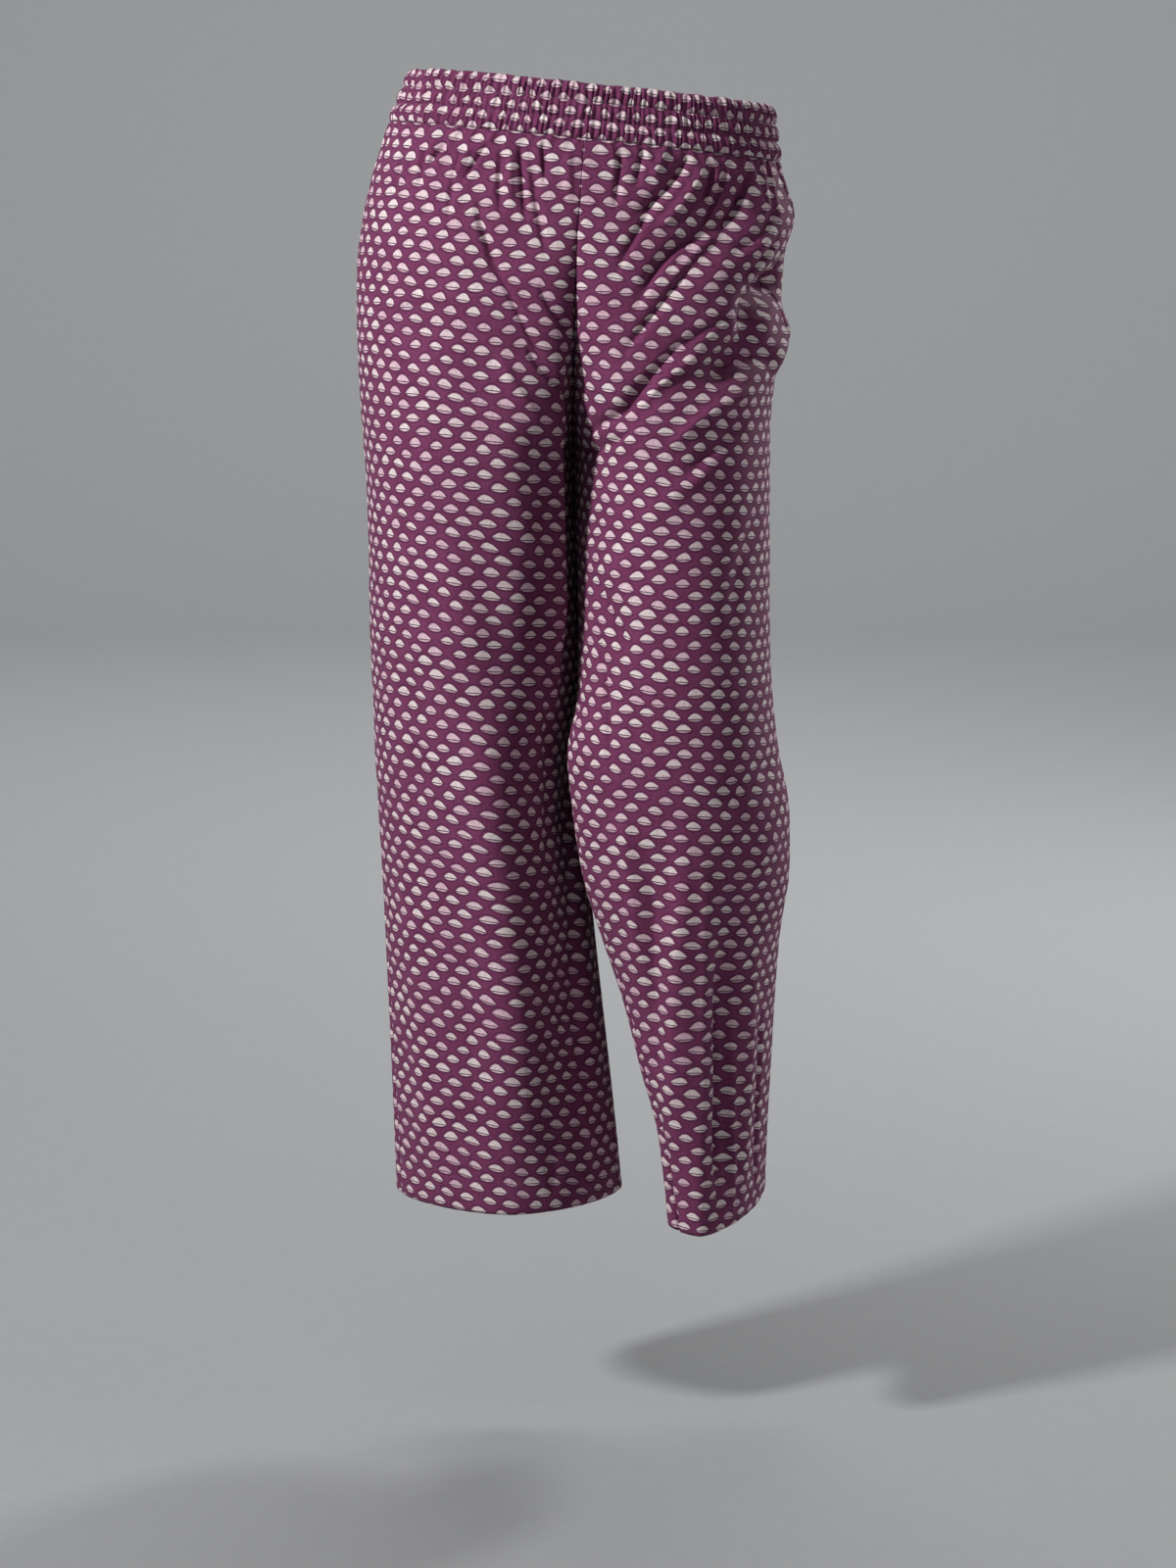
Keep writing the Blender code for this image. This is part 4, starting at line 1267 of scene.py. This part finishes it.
# %% Set the lights
def soft_light(name, place, target, size, power, colour=(1, 1, 1)):
    data = bpy.data.lights.new(name, "AREA")
    data.shape = "SQUARE"
    data.size = size
    data.energy = power
    data.color = colour
    light = bpy.data.objects.new(name, data)
    light.location = place
    light.rotation_euler = (Vector(target) - Vector(place)).to_track_quat("-Z", "Y").to_euler()
    light.visible_camera = False
    bpy.context.scene.collection.objects.link(light)
    return light


TARGET = (0, 0, -0.42)
HIPS = (0, 0, -0.1)
soft_light("key", (-2.05, -1.58, 1.2), HIPS, 0.3, 102)
soft_light("fill", (2.9, -0.65, 0.1), TARGET, 0.8, 15)
soft_light("front", (-0.6, -3.4, 1.2), TARGET, 1.2, 2)
soft_light("back", (2.0, 2.2, 1.2), TARGET, 0.6, 62)
soft_light("wall", (0.0, 3.0, 4.2), (0, 7.0, 0.6), 3.0, 385)
soft_light("far wall", (0.0, -3.0, 4.2), (0, -7.0, 0.6), 3.0, 100)
world = bpy.data.worlds.new("studio")
world.use_nodes = True
world.node_tree.nodes["Background"].inputs["Color"].default_value = (0.72, 0.74, 0.78, 1.0)
world.node_tree.nodes["Background"].inputs["Strength"].default_value = 0.03
bpy.context.scene.world = world
bpy.context.scene.view_settings.view_transform = "Standard"

# %% Place the camera
CAMERA_PLACE = (0.0, -2.93, -0.09)
CAMERA_DOWN = 8.63
LENS = 83.79
SENSOR = 36.0
camera = bpy.data.cameras.new("camera")
camera.lens = LENS
camera.sensor_width = SENSOR
camera_object = bpy.data.objects.new("camera", camera)
camera_object.location = CAMERA_PLACE
camera_object.rotation_euler = (math.radians(90 - CAMERA_DOWN), 0, 0)
bpy.context.scene.collection.objects.link(camera_object)
bpy.context.scene.camera = camera_object

# %% [markdown]
# ## Compare the sizes and finish
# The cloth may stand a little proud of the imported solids, but the whole stays their size.

# %% Write the sizes and finish
scene_box = [list(corner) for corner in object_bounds()]
for axis, cad_low, cad_high, low, high in zip("xyz", *CAD_BOX, *scene_box):
    print(axis, "packed", round(cad_low, 4), round(cad_high, 4), "scene", round(low, 4), round(high, 4))
